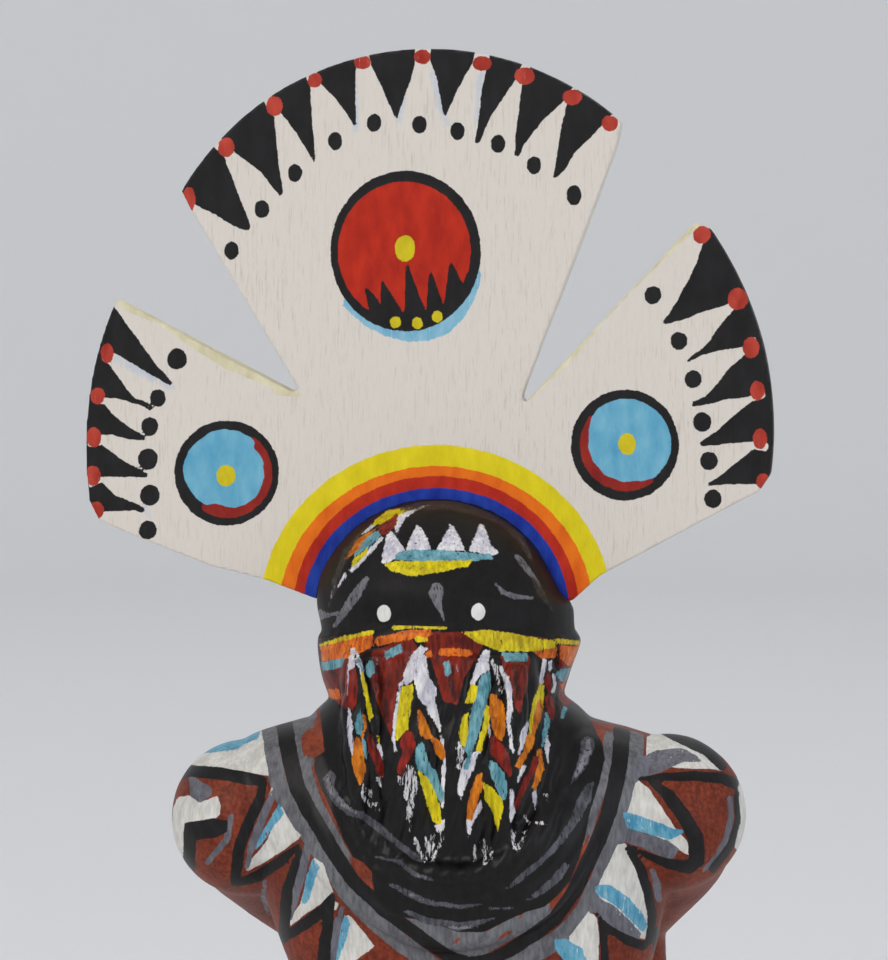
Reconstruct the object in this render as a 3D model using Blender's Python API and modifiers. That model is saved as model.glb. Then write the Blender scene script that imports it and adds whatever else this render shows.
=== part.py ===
"""Carved and painted wooden crown dancer doll.

Three pieces: one carved figure, a sawn headdress board let into a slot in its head, and a
low round base. The figure faces -Y and the base's underside centre is the origin.
"""
import math

import bmesh
import bpy

MM = 0.001

# Driving sizes
FIGURE_HEIGHT = 142.5 * MM      # soles of the boots to the top of the hood
BOARD_WIDTH = 86.6 * MM         # widest span of the headdress board
BOARD_THICKNESS = 3.6 * MM
BOARD_EDGE = 0.8 * MM           # sanded rounding along the board's edges
SLOT_DEPTH = 12.9 * MM          # from the top of the hood down to the slot's floor
BASE_RADIUS = 29.0 * MM
BASE_HEIGHT = 9.5 * MM
BASE_EDGE = 1.2 * MM            # rounding of the base's upper and lower edges
FIT_GAP = 0.3 * MM              # clearance wherever two pieces meet

# The carving keeps its proportions as shares of the figure's height, and the board as
# shares of its width. Each unit is one millimetre on a figure or a board of this size.
CARVED = FIGURE_HEIGHT / 142.5
SAWN = BOARD_WIDTH / 86.6

SOLE_LEVEL = BASE_HEIGHT + FIT_GAP
BOARD_FOOT = SOLE_LEVEL + FIGURE_HEIGHT - SLOT_DEPTH + FIT_GAP
HEAD_X = -3.9                   # the head leans a little to the figure's right, in units
DOME_X = -4.9                   # and the top of the hood a little more

RING_POINTS = 32                # round the torso and head
LIMB_POINTS = 16                # round boots and legs
BASE_POINTS = 64                # round the base
EDGE_SEGMENTS = 2               # in a sanded edge
EDGE_ANGLE = math.radians(50)   # edges sharper than this are sanded round
WELD = 0.01 * MM                # points closer than this are one point
SLIVER = 0.02 * MM              # edges shorter than this are closed up

FINISHES = {
    "carved_figure": ((0.27, 0.085, 0.05, 1.0), 0.45),
    "tablita_headdress": ((0.62, 0.59, 0.53, 1.0), 0.6),
    "base": ((0.24, 0.12, 0.06, 1.0), 0.5),
}

# Cross-sections of the carving, in units above the soles:
# (height, centre x, centre y, half width, half depth)
TORSO = (
    (60, 0.0, 0.0, 19.0, 13.0),
    (66, 0.0, 0.0, 17.6, 12.0),
    (75, -0.3, 0.0, 19.5, 12.4),
    (85, -0.8, 0.0, 23.0, 13.4),
    (92, -1.3, 0.0, 25.0, 14.0),
    (100, -2.0, 0.0, 27.0, 14.2),
    (106, -2.4, 0.0, 29.2, 13.6),
    (110, -2.6, 0.0, 28.8, 12.0),
    (113, -2.8, 0.0, 25.2, 10.4),
    (115.5, -3.0, 0.0, 16.5, 8.6),
)
HEAD = (
    (111, -3.5, 0.0, 10.5, 10.0),
    (116.5, -3.6, 0.0, 13.7, 12.6),
    (117.5, -3.7, 0.0, 14.4, 13.2),
    (121, -3.8, 0.0, 15.6, 14.3),
    (125.2, HEAD_X, 0.0, 16.5, 15.0),
    (125.9, -3.8, 0.0, 15.9, 14.4),
    (130, -4.7, 0.0, 15.4, 14.4),
    (133.5, DOME_X, 0.0, 14.4, 13.6),
    (136.8, DOME_X, 0.0, 12.3, 11.9),
    (139.5, DOME_X, 0.0, 9.5, 9.3),
    (141.4, DOME_X, 0.0, 6.1, 6.2),
    (142.5, DOME_X, 0.0, 2.4, 2.3),
)
KERCHIEF = (
    (88.5, -1.0, -10.0, 5.0, 4.8),
    (92, -1.2, -8.5, 10.0, 7.6),
    (97, -1.6, -7.0, 14.0, 9.6),
    (103, -2.1, -5.0, 16.8, 11.4),
    (109, -2.6, -2.6, 18.6, 13.0),
    (113.5, -3.0, -0.8, 18.6, 13.4),
    (116.5, -3.3, 0.0, 16.4, 13.2),
    (118.5, -3.6, 0.0, 13.6, 12.4),
)
BIB = (
    (96.2, -3.0, -12.0, 6.5, 4.4),
    (99, -3.0, -11.6, 9.6, 5.2),
    (104, -3.1, -11.2, 11.4, 5.6),
    (112, -3.2, -10.8, 12.2, 5.4),
    (119, -3.4, -10.2, 12.3, 5.2),
    (124.2, -3.6, -9.9, 12.0, 5.2),
)
KILT = (
    (28.5, 0.0, 0.0, 24.0, 17.4),
    (33, 0.0, 0.0, 23.7, 17.1),
    (44, 0.0, 0.0, 22.2, 15.8),
    (56, 0.0, 0.0, 20.4, 14.2),
    (63, 0.0, 0.0, 19.2, 13.3),
)
BELT = (
    (61.5, 0.0, 0.0, 19.6, 13.6),
    (62.5, 0.0, 0.0, 20.6, 14.5),
    (66.5, 0.0, 0.0, 20.0, 14.1),
    (67.5, 0.0, 0.0, 18.6, 12.9),
)
BOOT = (
    (0.0, 0.0, -4.2, 6.3, 11.2),
    (1.0, 0.0, -4.2, 6.9, 11.9),
    (3.5, 0.0, -4.0, 6.8, 11.4),
    (6.5, 0.0, -2.6, 6.4, 9.4),
    (9.5, 0.0, -0.6, 6.1, 7.2),
    (13, 0.0, 0.4, 6.0, 6.2),
    (20.5, 0.0, 0.6, 6.6, 6.6),
    (21.3, 0.0, 0.6, 7.7, 7.7),
    (24.4, 0.0, 0.6, 8.0, 8.0),
    (25.2, 0.0, 0.6, 6.9, 6.9),
    (36, 0.0, 0.6, 7.4, 7.2),
)
LEG_SPREAD = 9.2                # each leg's centre from the middle, in units
KILT_PLEATS = 14
PLEAT_DEPTH = 0.05              # share of the hem's radius, fading out towards the belt

# Arms, in units: (x from the body's middle, y, height, radius). The upper arm goes back
# and in behind the ribs, and the forearm comes down to a fist at the back of the hip.
SHOULDER = (26.3, 0.3, 102.9, 9.9)
UPPER_ARM = ((26.4, 0.0, 102.6, 9.3), (24.6, 7.0, 97.8, 8.4), (18.2, 14.4, 89.2, 6.7))
ELBOW = (17.9, 15.0, 88.4, 6.7)
FOREARM = ((17.9, 15.0, 88.8, 6.5), (18.4, 14.6, 82.6, 5.8), (19.6, 12.0, 75.6, 5.0),
           (20.4, 9.0, 69.0, 4.5))
FIST = (20.6, 8.0, 66.8, 5.2)
SHOULDER_MIDDLE = -2.35         # the middle of the shoulders, and of the hips below them
HIP_MIDDLE = 0.0
SHOULDER_TILT = 0.6             # the figure's left shoulder is this much higher

# Folds of the kerchief, in units: closed rolls round the neck that hang in a deep swag in
# front and a shallow one behind. (half width, lowest in front, reach forward, lowest
# behind, reach back, radius)
FOLD_COUNT = 4
FOLD_INNER = (14.0, 97.4, 17.0, 112.4, 11.3, 1.7)
FOLD_OUTER = (19.4, 89.9, 14.6, 104.2, 13.6, 2.0)
FOLD_SIDE_LEVEL = 112.6
FOLD_WRAP = 0.42                # how squarely a fold goes round the chest
FOLD_X = HEAD_X + 1.0           # the folds' middle at the shoulders
FOLD_LEAN = 1.6                 # and how far it moves sideways at the front
FOLD_POINTS = 26

# Hanging feather fringes, in units: (x at the top, x at the tip, top, tip, half width)
FEATHERS = (
    (-13.3, -12.6, 123.6, 103.6, 1.9),
    (-8.9, -8.0, 124.0, 97.8, 1.9),
    (-5.7, -5.1, 123.6, 97.4, 1.8),
    (-1.4, -1.7, 124.0, 97.2, 1.9),
    (2.1, 1.0, 123.8, 98.4, 1.9),
    (6.7, 4.5, 123.6, 99.8, 2.0),
)
FEATHER_FRONT = ((97, -16.1), (104, -16.5), (112, -16.0), (119, -15.2), (124, -14.9))
FEATHER_SQUEEZE = 0.85          # a feather's thickness as a share of its width
FEATHER_ENDS = 0.18             # its narrowest radius as a share of its half width
FEATHER_SWELL = (0.12, 0.86, 0.6)   # where the swell starts, how much of a half wave, power
FEATHER_STEPS = 7

# The board's outline, in units from the middle of its foot: (x, height)
FOOT_LEFT = (-16.2, 0.0)
LEFT_SHOULDER = (-22.7, 2.8)
LEFT_HEEL = (-43.5, 10.4)
LEFT_WING_ARC = ((-45.0, 11.7), (-45.5, 21.5), (-41.5, 37.7))
LEFT_NOTCH = (-18.4, 25.8)
TOP_LOBE_ARC = ((-32.7, 50.4), (-2.9, 68.9), (22.1, 59.6))
RIGHT_NOTCH = (9.5, 24.6)
RIGHT_WING_ARC = ((31.7, 47.3), (39.1, 34.0), (40.6, 15.4))
RIGHT_HEEL = (39.4, 13.9)
RIGHT_SHOULDER = (19.4, 3.2)
FOOT_RIGHT = (15.9, 0.0)
LOBE_STEPS = 22
WING_STEPS = 13


def clear_scene():
    for item in list(bpy.data.objects):
        bpy.data.objects.remove(item, do_unlink=True)


def new_collection(name):
    collection = bpy.data.collections.new(name)
    bpy.context.scene.collection.children.link(collection)
    return collection


def new_object(name, data, collection):
    item = bpy.data.objects.new(name, data)
    collection.objects.link(item)
    return item


def finish(item):
    colour, roughness = FINISHES[item.name]
    material = bpy.data.materials.new(item.name + "_paint")
    material.use_nodes = True
    shader = material.node_tree.nodes["Principled BSDF"]
    shader.inputs["Base Color"].default_value = colour
    shader.inputs["Roughness"].default_value = roughness
    shader.inputs["Metallic"].default_value = 0.0
    item.data.materials.clear()
    item.data.materials.append(material)


def between(rows, steps):
    """Rows of numbers on a smooth curve through the given rows, `steps` to each span."""
    out = []
    last = len(rows) - 1
    for i in range(last):
        before, start, end, after = rows[max(i - 1, 0)], rows[i], rows[i + 1], rows[min(i + 2, last)]
        for k in range(steps):
            t = k / steps
            out.append(tuple(
                0.5 * (2 * b + (c - a) * t + (2 * a - 5 * b + 4 * c - d) * t ** 2
                       + (3 * b - a - 3 * c + d) * t ** 3)
                for a, b, c, d in zip(before, start, end, after)))
    out.append(tuple(rows[last]))
    return out


def at_height(table, height):
    """The value beside a height in a table of (height, value), straight between rows."""
    for (low, low_value), (high, high_value) in zip(table, table[1:]):
        if height <= high:
            share = max(0.0, (height - low) / (high - low))
            return low_value + (high_value - low_value) * share
    return table[-1][1]


def oval(section, points, squareness, ripple=None):
    """One closed ring of a loft, in units, turned anticlockwise seen from above."""
    height, x, y, half_width, half_depth = section
    ring = []
    for i in range(points):
        angle = 2 * math.pi * i / points
        c, s = math.cos(angle), math.sin(angle)
        grow = 1 + (ripple(height, angle) if ripple else 0.0)
        ring.append((x + half_width * grow * math.copysign(abs(c) ** (2 / squareness), c),
                     y + half_depth * grow * math.copysign(abs(s) ** (2 / squareness), s),
                     height))
    return ring


def loft(name, rings, collection):
    """A closed solid through rings of as many points each, with a flat face at both ends."""
    shape = bmesh.new()
    rows = [[shape.verts.new((x * CARVED, y * CARVED, SOLE_LEVEL + z * CARVED)) for x, y, z in ring]
            for ring in rings]
    for lower, upper in zip(rows, rows[1:]):
        for i in range(len(lower)):
            j = (i + 1) % len(lower)
            shape.faces.new((lower[i], lower[j], upper[j], upper[i]))
    shape.faces.new(list(reversed(rows[0])))
    shape.faces.new(rows[-1])
    mesh = bpy.data.meshes.new(name)
    shape.to_mesh(mesh)
    shape.free()
    return new_object(name, mesh, collection)


def sections(name, table, steps, collection, points=RING_POINTS, squareness=2.2, shift=0.0,
             ripple=None):
    rings = [oval((z, x + shift, y, a, b), points, squareness, ripple)
             for z, x, y, a, b in between(table, steps)]
    return loft(name, rings, collection)


def tube(name, points, radii, collection, closed=False, resolution=3, flatten=1.0):
    """A round solid along a path in units; `flatten` squeezes it from front to back."""
    curve = bpy.data.curves.new(name, "CURVE")
    curve.dimensions = "3D"
    curve.bevel_depth = CARVED
    curve.bevel_resolution = resolution
    curve.use_fill_caps = not closed
    spline = curve.splines.new("POLY")
    spline.points.add(len(points) - 1)
    for point, (x, y, z), radius in zip(spline.points, points, radii):
        point.co = (x * CARVED, y * CARVED / flatten, SOLE_LEVEL + z * CARVED, 1.0)
        point.radius = radius
    spline.use_cyclic_u = closed
    guide = new_object(name + "_path", curve, collection)
    bpy.context.view_layer.update()
    evaluated = guide.evaluated_get(bpy.context.evaluated_depsgraph_get())
    mesh = bpy.data.meshes.new_from_object(evaluated)
    item = new_object(name, mesh, collection)
    item.matrix_world = guide.matrix_world
    bpy.data.objects.remove(guide, do_unlink=True)
    shape = bmesh.new()
    shape.from_mesh(mesh)
    bmesh.ops.remove_doubles(shape, verts=shape.verts, dist=WELD)
    bmesh.ops.scale(shape, vec=(1.0, flatten, 1.0), verts=shape.verts)
    bmesh.ops.recalc_face_normals(shape, faces=shape.faces)
    shape.to_mesh(mesh)
    shape.free()
    return item


def pleats(height, angle):
    """Swing of the kilt's pleats, deepest at the hem."""
    hem, belt = KILT[0][0], KILT[-1][0]
    fade = max(0.0, (belt - height) / (belt - hem))
    return PLEAT_DEPTH * fade * math.cos(KILT_PLEATS * angle)


def fold_path(width, low, reach, back_low, back_reach):
    """One fold: a loop from shoulder to shoulder that swings down in front and behind."""
    path = []
    for i in range(FOLD_POINTS):
        angle = 2 * math.pi * i / FOLD_POINTS
        c, s = math.cos(angle), math.sin(angle)
        lean = FOLD_X + FOLD_LEAN * max(0.0, s)
        lowest, away = (low, -reach) if s >= 0 else (back_low, back_reach)
        path.append((lean + width * c, away * abs(s) ** FOLD_WRAP,
                     FOLD_SIDE_LEVEL + (lowest - FOLD_SIDE_LEVEL) * abs(s)))
    return path


def folds(collection):
    made = []
    for k in range(FOLD_COUNT):
        share = k / (FOLD_COUNT - 1)
        *loop, radius = (a + (b - a) * share for a, b in zip(FOLD_INNER, FOLD_OUTER))
        path = fold_path(*loop)
        made.append(tube(f"fold_{k + 1}", path, [radius] * len(path), collection, closed=True,
                         resolution=2))
    return made


def feather_radius(share, half_width):
    """A feather's radius at a share of its length: narrow root, full middle, pointed tip."""
    start, sweep, power = FEATHER_SWELL
    return half_width * max(FEATHER_ENDS, math.sin(math.pi * (start + sweep * share)) ** power)


def feathers(collection):
    made = []
    for k, (top_x, tip_x, top, tip, half_width) in enumerate(FEATHERS):
        points, radii = [], []
        for i in range(FEATHER_STEPS + 1):
            t = i / FEATHER_STEPS
            height = top + (tip - top) * t
            points.append((top_x + (tip_x - top_x) * t, at_height(FEATHER_FRONT, height), height))
            radii.append(feather_radius(t, half_width))
        made.append(tube(f"feather_{k + 1}", points, radii, collection, resolution=1,
                         flatten=FEATHER_SQUEEZE))
    return made


def ball(name, row, collection, segments=16, rings=10):
    """A round solid from a row of (x, y, height, radius) in units."""
    x, y, z, radius = row
    shape = bmesh.new()
    bmesh.ops.create_uvsphere(shape, u_segments=segments, v_segments=rings, radius=radius * CARVED)
    bmesh.ops.translate(shape, verts=shape.verts, vec=(x * CARVED, y * CARVED, SOLE_LEVEL + z * CARVED))
    mesh = bpy.data.meshes.new(name)
    shape.to_mesh(mesh)
    shape.free()
    return new_object(name, mesh, collection)


def on_side(row, side):
    """A row of an arm on one side, leaning from the shoulders' middle to the hips'."""
    x, y, z, radius = row
    high = (z - FIST[2]) / (SHOULDER[2] - FIST[2])
    middle = HIP_MIDDLE + (SHOULDER_MIDDLE - HIP_MIDDLE) * high
    return side * x + middle, y, z + SHOULDER_TILT * side * high, radius


def arm(side, collection):
    made = [ball(f"shoulder_{side}", on_side(SHOULDER, side), collection),
            ball(f"elbow_{side}", on_side(ELBOW, side), collection, segments=12, rings=8),
            ball(f"fist_{side}", on_side(FIST, side), collection, segments=12, rings=8)]
    for name, rows in (("upper_arm", UPPER_ARM), ("forearm", FOREARM)):
        rows = [on_side(row, side) for row in between(rows, 2)]
        made.append(tube(f"{name}_{side}", [row[:3] for row in rows], [row[3] for row in rows],
                         collection, resolution=3))
    return made


def join(target, pieces):
    """Boolean unions of the pieces into the target, applied one after another."""
    for piece in pieces:
        step = target.modifiers.new("union", "BOOLEAN")
        step.operation = "UNION"
        step.solver = "EXACT"
        step.use_self = True
        step.object = piece
        bake(target)
        bpy.data.objects.remove(piece, do_unlink=True)


def bake(item):
    bpy.context.view_layer.update()
    mesh = bpy.data.meshes.new_from_object(item.evaluated_get(bpy.context.evaluated_depsgraph_get()))
    item.modifiers.clear()
    item.data = mesh


def tidy_mesh(item):
    """Weld the slivers that the unions leave, and keep every face flat."""
    shape = bmesh.new()
    shape.from_mesh(item.data)
    bmesh.ops.dissolve_degenerate(shape, dist=SLIVER, edges=shape.edges)
    bmesh.ops.triangulate(shape, faces=[f for f in shape.faces if len(f.verts) > 3])
    shape.to_mesh(item.data)
    shape.free()


def slot_cutter(collection):
    """The kerf for the board: open at the top and through both sides of the head."""
    floor = SOLE_LEVEL + FIGURE_HEIGHT - SLOT_DEPTH
    reach = BOARD_WIDTH / 2
    bpy.ops.mesh.primitive_cube_add(size=1.0)
    cutter = bpy.context.object
    cutter.name = "slot_cutter"
    cutter.scale = (2 * reach, BOARD_THICKNESS + 2 * FIT_GAP, SLOT_DEPTH + reach)
    cutter.location = (HEAD_X * CARVED, BOARD_THICKNESS / 2, floor + (SLOT_DEPTH + reach) / 2)
    for owner in list(cutter.users_collection):
        owner.objects.unlink(cutter)
    collection.objects.link(cutter)
    cutter.hide_render = True
    cutter.display_type = "WIRE"
    return cutter


def carved_figure(parts, guides):
    figure = sections("carved_figure", TORSO, 2, parts, squareness=2.3)
    pieces = [
        sections("kerchief", KERCHIEF, 2, guides, points=28, squareness=2.1),
        sections("head", HEAD, 1, guides, squareness=2.15),
        sections("bib", BIB, 1, guides, points=20, squareness=2.6),
        sections("kilt", KILT, 1, guides, points=KILT_PLEATS * 4, squareness=2.1, ripple=pleats),
        sections("belt", BELT, 1, guides, points=28, squareness=2.2),
    ]
    pieces += folds(guides)
    pieces += feathers(guides)
    for side in (-1, 1):
        pieces += arm(side, guides)
        pieces.append(sections(f"boot_{side}", BOOT, 1, guides, points=LIMB_POINTS,
                               shift=side * LEG_SPREAD))
    join(figure, pieces)
    cut = figure.modifiers.new("board_slot", "BOOLEAN")
    cut.operation = "DIFFERENCE"
    cut.solver = "EXACT"
    cut.object = slot_cutter(guides)
    bake(figure)
    tidy_mesh(figure)
    finish(figure)
    return figure


def arc(start, middle, end, steps):
    """Points from start to end on the circle through three points, ends included."""
    (ax, ay), (bx, by), (cx, cy) = start, middle, end
    d = 2 * (ax * (by - cy) + bx * (cy - ay) + cx * (ay - by))
    a2, b2, c2 = ax * ax + ay * ay, bx * bx + by * by, cx * cx + cy * cy
    ox = (a2 * (by - cy) + b2 * (cy - ay) + c2 * (ay - by)) / d
    oy = (a2 * (cx - bx) + b2 * (ax - cx) + c2 * (bx - ax)) / d
    radius = math.hypot(ax - ox, ay - oy)
    first = math.atan2(ay - oy, ax - ox)
    sweep = math.atan2(cy - oy, cx - ox) - first
    sweep = (sweep + math.pi) % (2 * math.pi) - math.pi
    return [(ox + radius * math.cos(first + sweep * i / steps),
             oy + radius * math.sin(first + sweep * i / steps)) for i in range(steps + 1)]


def board_outline():
    """Clockwise from the left end of the foot: left wing, top lobe, right wing."""
    return ([FOOT_LEFT, LEFT_SHOULDER, LEFT_HEEL]
            + arc(*LEFT_WING_ARC, WING_STEPS) + [LEFT_NOTCH]
            + arc(*TOP_LOBE_ARC, LOBE_STEPS) + [RIGHT_NOTCH]
            + arc(*RIGHT_WING_ARC, WING_STEPS) + [RIGHT_HEEL, RIGHT_SHOULDER, FOOT_RIGHT])


def tablita_headdress(parts):
    curve = bpy.data.curves.new("tablita_headdress", "CURVE")
    curve.dimensions = "2D"
    curve.fill_mode = "BOTH"
    curve.extrude = BOARD_THICKNESS / 2
    outline = board_outline()
    spline = curve.splines.new("POLY")
    spline.points.add(len(outline) - 1)
    for point, (x, height) in zip(spline.points, outline):
        point.co = (x * SAWN, height * SAWN, 0.0, 1.0)
    spline.use_cyclic_u = True
    board = new_object("tablita_headdress", curve, parts)
    board.rotation_euler = (math.pi / 2, 0.0, 0.0)
    board.location = (HEAD_X * CARVED, BOARD_THICKNESS / 2, BOARD_FOOT)
    weld = board.modifiers.new("weld", "WELD")
    weld.merge_threshold = WELD
    rounding = board.modifiers.new("sanded_edges", "BEVEL")
    rounding.width = BOARD_EDGE
    rounding.segments = EDGE_SEGMENTS
    rounding.limit_method = "ANGLE"
    rounding.angle_limit = EDGE_ANGLE
    finish(board)
    return board


def base(parts):
    bpy.ops.mesh.primitive_cylinder_add(vertices=BASE_POINTS, radius=BASE_RADIUS, depth=BASE_HEIGHT)
    slab = bpy.context.object
    slab.name = "base"
    slab.location = (0.0, 0.0, BASE_HEIGHT / 2)
    for owner in list(slab.users_collection):
        owner.objects.unlink(slab)
    parts.objects.link(slab)
    rounding = slab.modifiers.new("sanded_edges", "BEVEL")
    rounding.width = BASE_EDGE
    rounding.segments = EDGE_SEGMENTS
    rounding.limit_method = "ANGLE"
    rounding.angle_limit = EDGE_ANGLE
    finish(slab)
    return slab


def main():
    clear_scene()
    parts = new_collection("crown_dancer_doll")
    guides = new_collection("cutters")
    carved_figure(parts, guides)
    tablita_headdress(parts)
    base(parts)


main()
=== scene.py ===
import math

import bmesh
import bpy
import numpy as np
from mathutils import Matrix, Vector


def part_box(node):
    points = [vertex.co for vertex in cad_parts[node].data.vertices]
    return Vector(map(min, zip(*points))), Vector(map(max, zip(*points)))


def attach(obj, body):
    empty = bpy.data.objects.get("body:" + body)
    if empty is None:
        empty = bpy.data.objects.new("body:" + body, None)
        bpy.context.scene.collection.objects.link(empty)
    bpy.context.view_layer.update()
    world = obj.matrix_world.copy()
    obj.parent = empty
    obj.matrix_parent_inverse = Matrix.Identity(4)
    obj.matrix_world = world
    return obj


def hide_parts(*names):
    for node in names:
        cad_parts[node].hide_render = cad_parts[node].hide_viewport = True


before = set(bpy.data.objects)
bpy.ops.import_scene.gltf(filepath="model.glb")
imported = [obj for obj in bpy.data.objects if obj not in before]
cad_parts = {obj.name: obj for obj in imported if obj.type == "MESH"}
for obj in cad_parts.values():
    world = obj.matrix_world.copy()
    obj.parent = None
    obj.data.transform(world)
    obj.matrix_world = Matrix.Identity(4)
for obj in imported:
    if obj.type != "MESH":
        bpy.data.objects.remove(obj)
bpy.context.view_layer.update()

# The looks of a carved and painted wooden crown dancer doll. Lengths are millimetres in the
# tables below, and heights of the carving are above the soles of the boots.
MM = 0.001
SOLE = (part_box("base")[1].z + 0.3 * MM) / MM      # the soles stand on the base with this gap
BOARD_LOW, BOARD_HIGH = (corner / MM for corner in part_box("tablita_headdress"))
HEAD_X, BAND_X, DOME_X = -3.9, -3.3, -4.9
BAND_HALF_WIDTH, BAND_RISE, BAND_RISE_DEPTH = 16.5, 2.1, 9.0
SLOT_FLOOR = 129.6                                 # above the soles
SLOT_FRONT, SLOT_BACK = -0.3, 3.9                  # the slot's walls, along Y

# The view that the painting was laid out in: the camera of the photograph. Marks are given on
# its 888 by 960 sheet, 8 units to the millimetre at the board's front.
SHEET_WIDTH, SHEET_HEIGHT = 888, 960
CAMERA_AZIMUTH, CAMERA_ELEVATION = math.radians(6.0), math.radians(3.0)
CAMERA_AIM = (-4.0, 0.0, 145.0 + SOLE)
CAMERA_DISTANCE = 600.0
LENS, SENSOR = 180.0, 36.0
SHEET_UNIT = 1 / 8                                 # millimetres in one unit of the sheet

VOXEL_SKIN, VOXEL_EVEN, VOXEL_BOARD = 0.40, 1.0, 0.36   # mesh sizes of the carved skins
BRUSH_MESH, FINE_BRUSH_MESH = 0.7, 0.36            # longest edges under the brushwork
PAINT_BODY = 0.06                                  # thickness of a loaded brush stroke
FAR = 20.0                                         # largest distance kept in a paint layer

# Cross-sections of the carving: (height, centre x, centre y, half width, half depth)
TORSO = ((60, 0.0, 0.0, 19.0, 13.0), (66, 0.0, 0.0, 17.6, 12.0), (75, -0.3, 0.0, 19.5, 12.4),
         (85, -0.8, 0.0, 23.0, 13.4), (92, -1.3, 0.0, 25.0, 14.0), (100, -2.0, 0.0, 27.0, 14.2),
         (106, -2.4, 0.0, 29.2, 13.6), (110, -2.6, 0.0, 28.8, 12.0),
         (113, -2.8, 0.0, 25.2, 10.4), (115.5, -3.0, 0.0, 16.5, 8.6))
HEAD = ((111, -3.5, 0.0, 10.5, 10.0), (116.5, -3.6, 0.0, 13.7, 12.6),
        (117.5, -3.7, 0.0, 14.4, 13.2), (121, -3.8, 0.0, 15.6, 14.3),
        (125.2, BAND_X, 0.0, 16.5, 15.0), (125.9, -3.4, 0.0, 15.8, 14.4),
        (129.4, -3.9, 0.0, 16.0, 14.6), (131.2, -4.6, 0.0, 15.2, 14.4), (133.5, DOME_X, 0.0, 14.4, 13.6),
        (136.8, DOME_X, 0.0, 12.3, 11.9), (139.5, DOME_X, 0.0, 9.5, 9.3),
        (141.4, DOME_X, 0.0, 6.1, 6.2), (142.5, DOME_X, 0.0, 2.4, 2.3))
KERCHIEF = ((88.5, -1.0, -10.0, 5.0, 4.8), (92, -1.2, -8.5, 10.0, 7.6),
            (97, -1.6, -7.0, 14.0, 9.6), (103, -2.1, -5.0, 16.8, 11.4),
            (109, -2.6, -2.6, 18.6, 13.0), (113.5, -3.0, -0.8, 18.6, 13.4),
            (116.5, -3.3, 0.0, 16.4, 13.2), (118.5, -3.6, 0.0, 13.6, 12.4))
BIB = ((96.2, -3.0, -12.0, 6.5, 4.4), (99, -3.0, -11.6, 9.6, 5.2),
       (104, -3.1, -11.2, 11.4, 5.6), (112, -3.2, -10.8, 12.2, 5.4),
       (119, -3.4, -10.2, 12.3, 5.2), (124.2, -3.6, -9.9, 12.0, 5.2))
KILT = ((28.5, 0.0, 0.0, 24.0, 17.4), (33, 0.0, 0.0, 23.7, 17.1), (44, 0.0, 0.0, 22.2, 15.8),
        (56, 0.0, 0.0, 20.4, 14.2), (63, 0.0, 0.0, 19.2, 13.3))
BELT = ((61.5, 0.0, 0.0, 19.6, 13.6), (62.5, 0.0, 0.0, 20.6, 14.5),
        (66.5, 0.0, 0.0, 20.0, 14.1), (67.5, 0.0, 0.0, 18.6, 12.9))
BOOT = ((0.0, 0.0, -4.2, 6.3, 11.2), (1.0, 0.0, -4.2, 6.9, 11.9), (3.5, 0.0, -4.0, 6.8, 11.4),
        (6.5, 0.0, -2.6, 6.4, 9.4), (9.5, 0.0, -0.6, 6.1, 7.2), (13, 0.0, 0.4, 6.0, 6.2),
        (20.5, 0.0, 0.6, 6.6, 6.6), (21.3, 0.0, 0.6, 7.7, 7.7), (24.4, 0.0, 0.6, 8.0, 8.0),
        (25.2, 0.0, 0.6, 6.9, 6.9), (36, 0.0, 0.6, 7.4, 7.2))
LEG_SPREAD = 9.2
KILT_PLEATS, PLEAT_DEPTH = 14, 0.05

# Patterns made up for the parts that the photo doesn't show: radii at which a pattern is laid
# round the hips, belt and head, its levels above the soles, and the swag round the back
HIP_RADIUS, BELT_RADIUS, HEAD_RADIUS = 21.0, 20.0, 16.0
BELT_LEVEL, DISC_SPACING = 64.5, 10.47
BORDER_LEVEL, BORDER_HEIGHT = 35.0, 6.0
ZIGZAG_LEVEL, ZIGZAG_LENGTH = 121.3, 5.2
SWAG_HALF_WIDTH, SWAG_DROP, SWAG_REACH = 20.6, 10.6, 27.0
BACK_TOOTH_LENGTH, BACK_TOOTH_HEIGHT = 8.4, 6.6

BASE_EDGE, RIM_WIDTH, RIM_WEAR = 1.2, 5.0, 0.006   # the slab's eased edge and hand-worked rim
BOARD_EDGE = 0.7                                   # how far the board's edges are sanded

# Arms: (x from the body's middle, y, height, radius)
SHOULDER = (26.3, 0.3, 102.9, 9.9)
UPPER_ARM = ((26.4, 0.0, 102.6, 9.3), (24.6, 7.0, 97.8, 8.4), (18.2, 14.4, 89.2, 6.7))
ELBOW = (17.9, 15.0, 88.4, 6.7)
FOREARM = ((17.9, 15.0, 88.8, 6.5), (18.4, 14.6, 82.6, 5.8), (19.6, 12.0, 75.6, 5.0),
           (20.4, 9.0, 69.0, 4.5))
FIST = (20.6, 8.0, 66.8, 5.2)
SHOULDER_MIDDLE, HIP_MIDDLE, SHOULDER_TILT = -2.35, 0.0, 0.6

# Folds of the kerchief: (half width, lowest in front, reach forward, lowest behind, reach
# back, radius), from the inner fold to the outer one
FOLD_COUNT = 4
FOLD_INNER = (14.0, 97.4, 17.0, 112.4, 11.3, 1.7)
FOLD_OUTER = (19.4, 89.9, 14.6, 104.2, 13.6, 2.0)
FOLD_SIDE_LEVEL, FOLD_WRAP, FOLD_LEAN = 112.6, 0.42, 1.6

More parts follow.
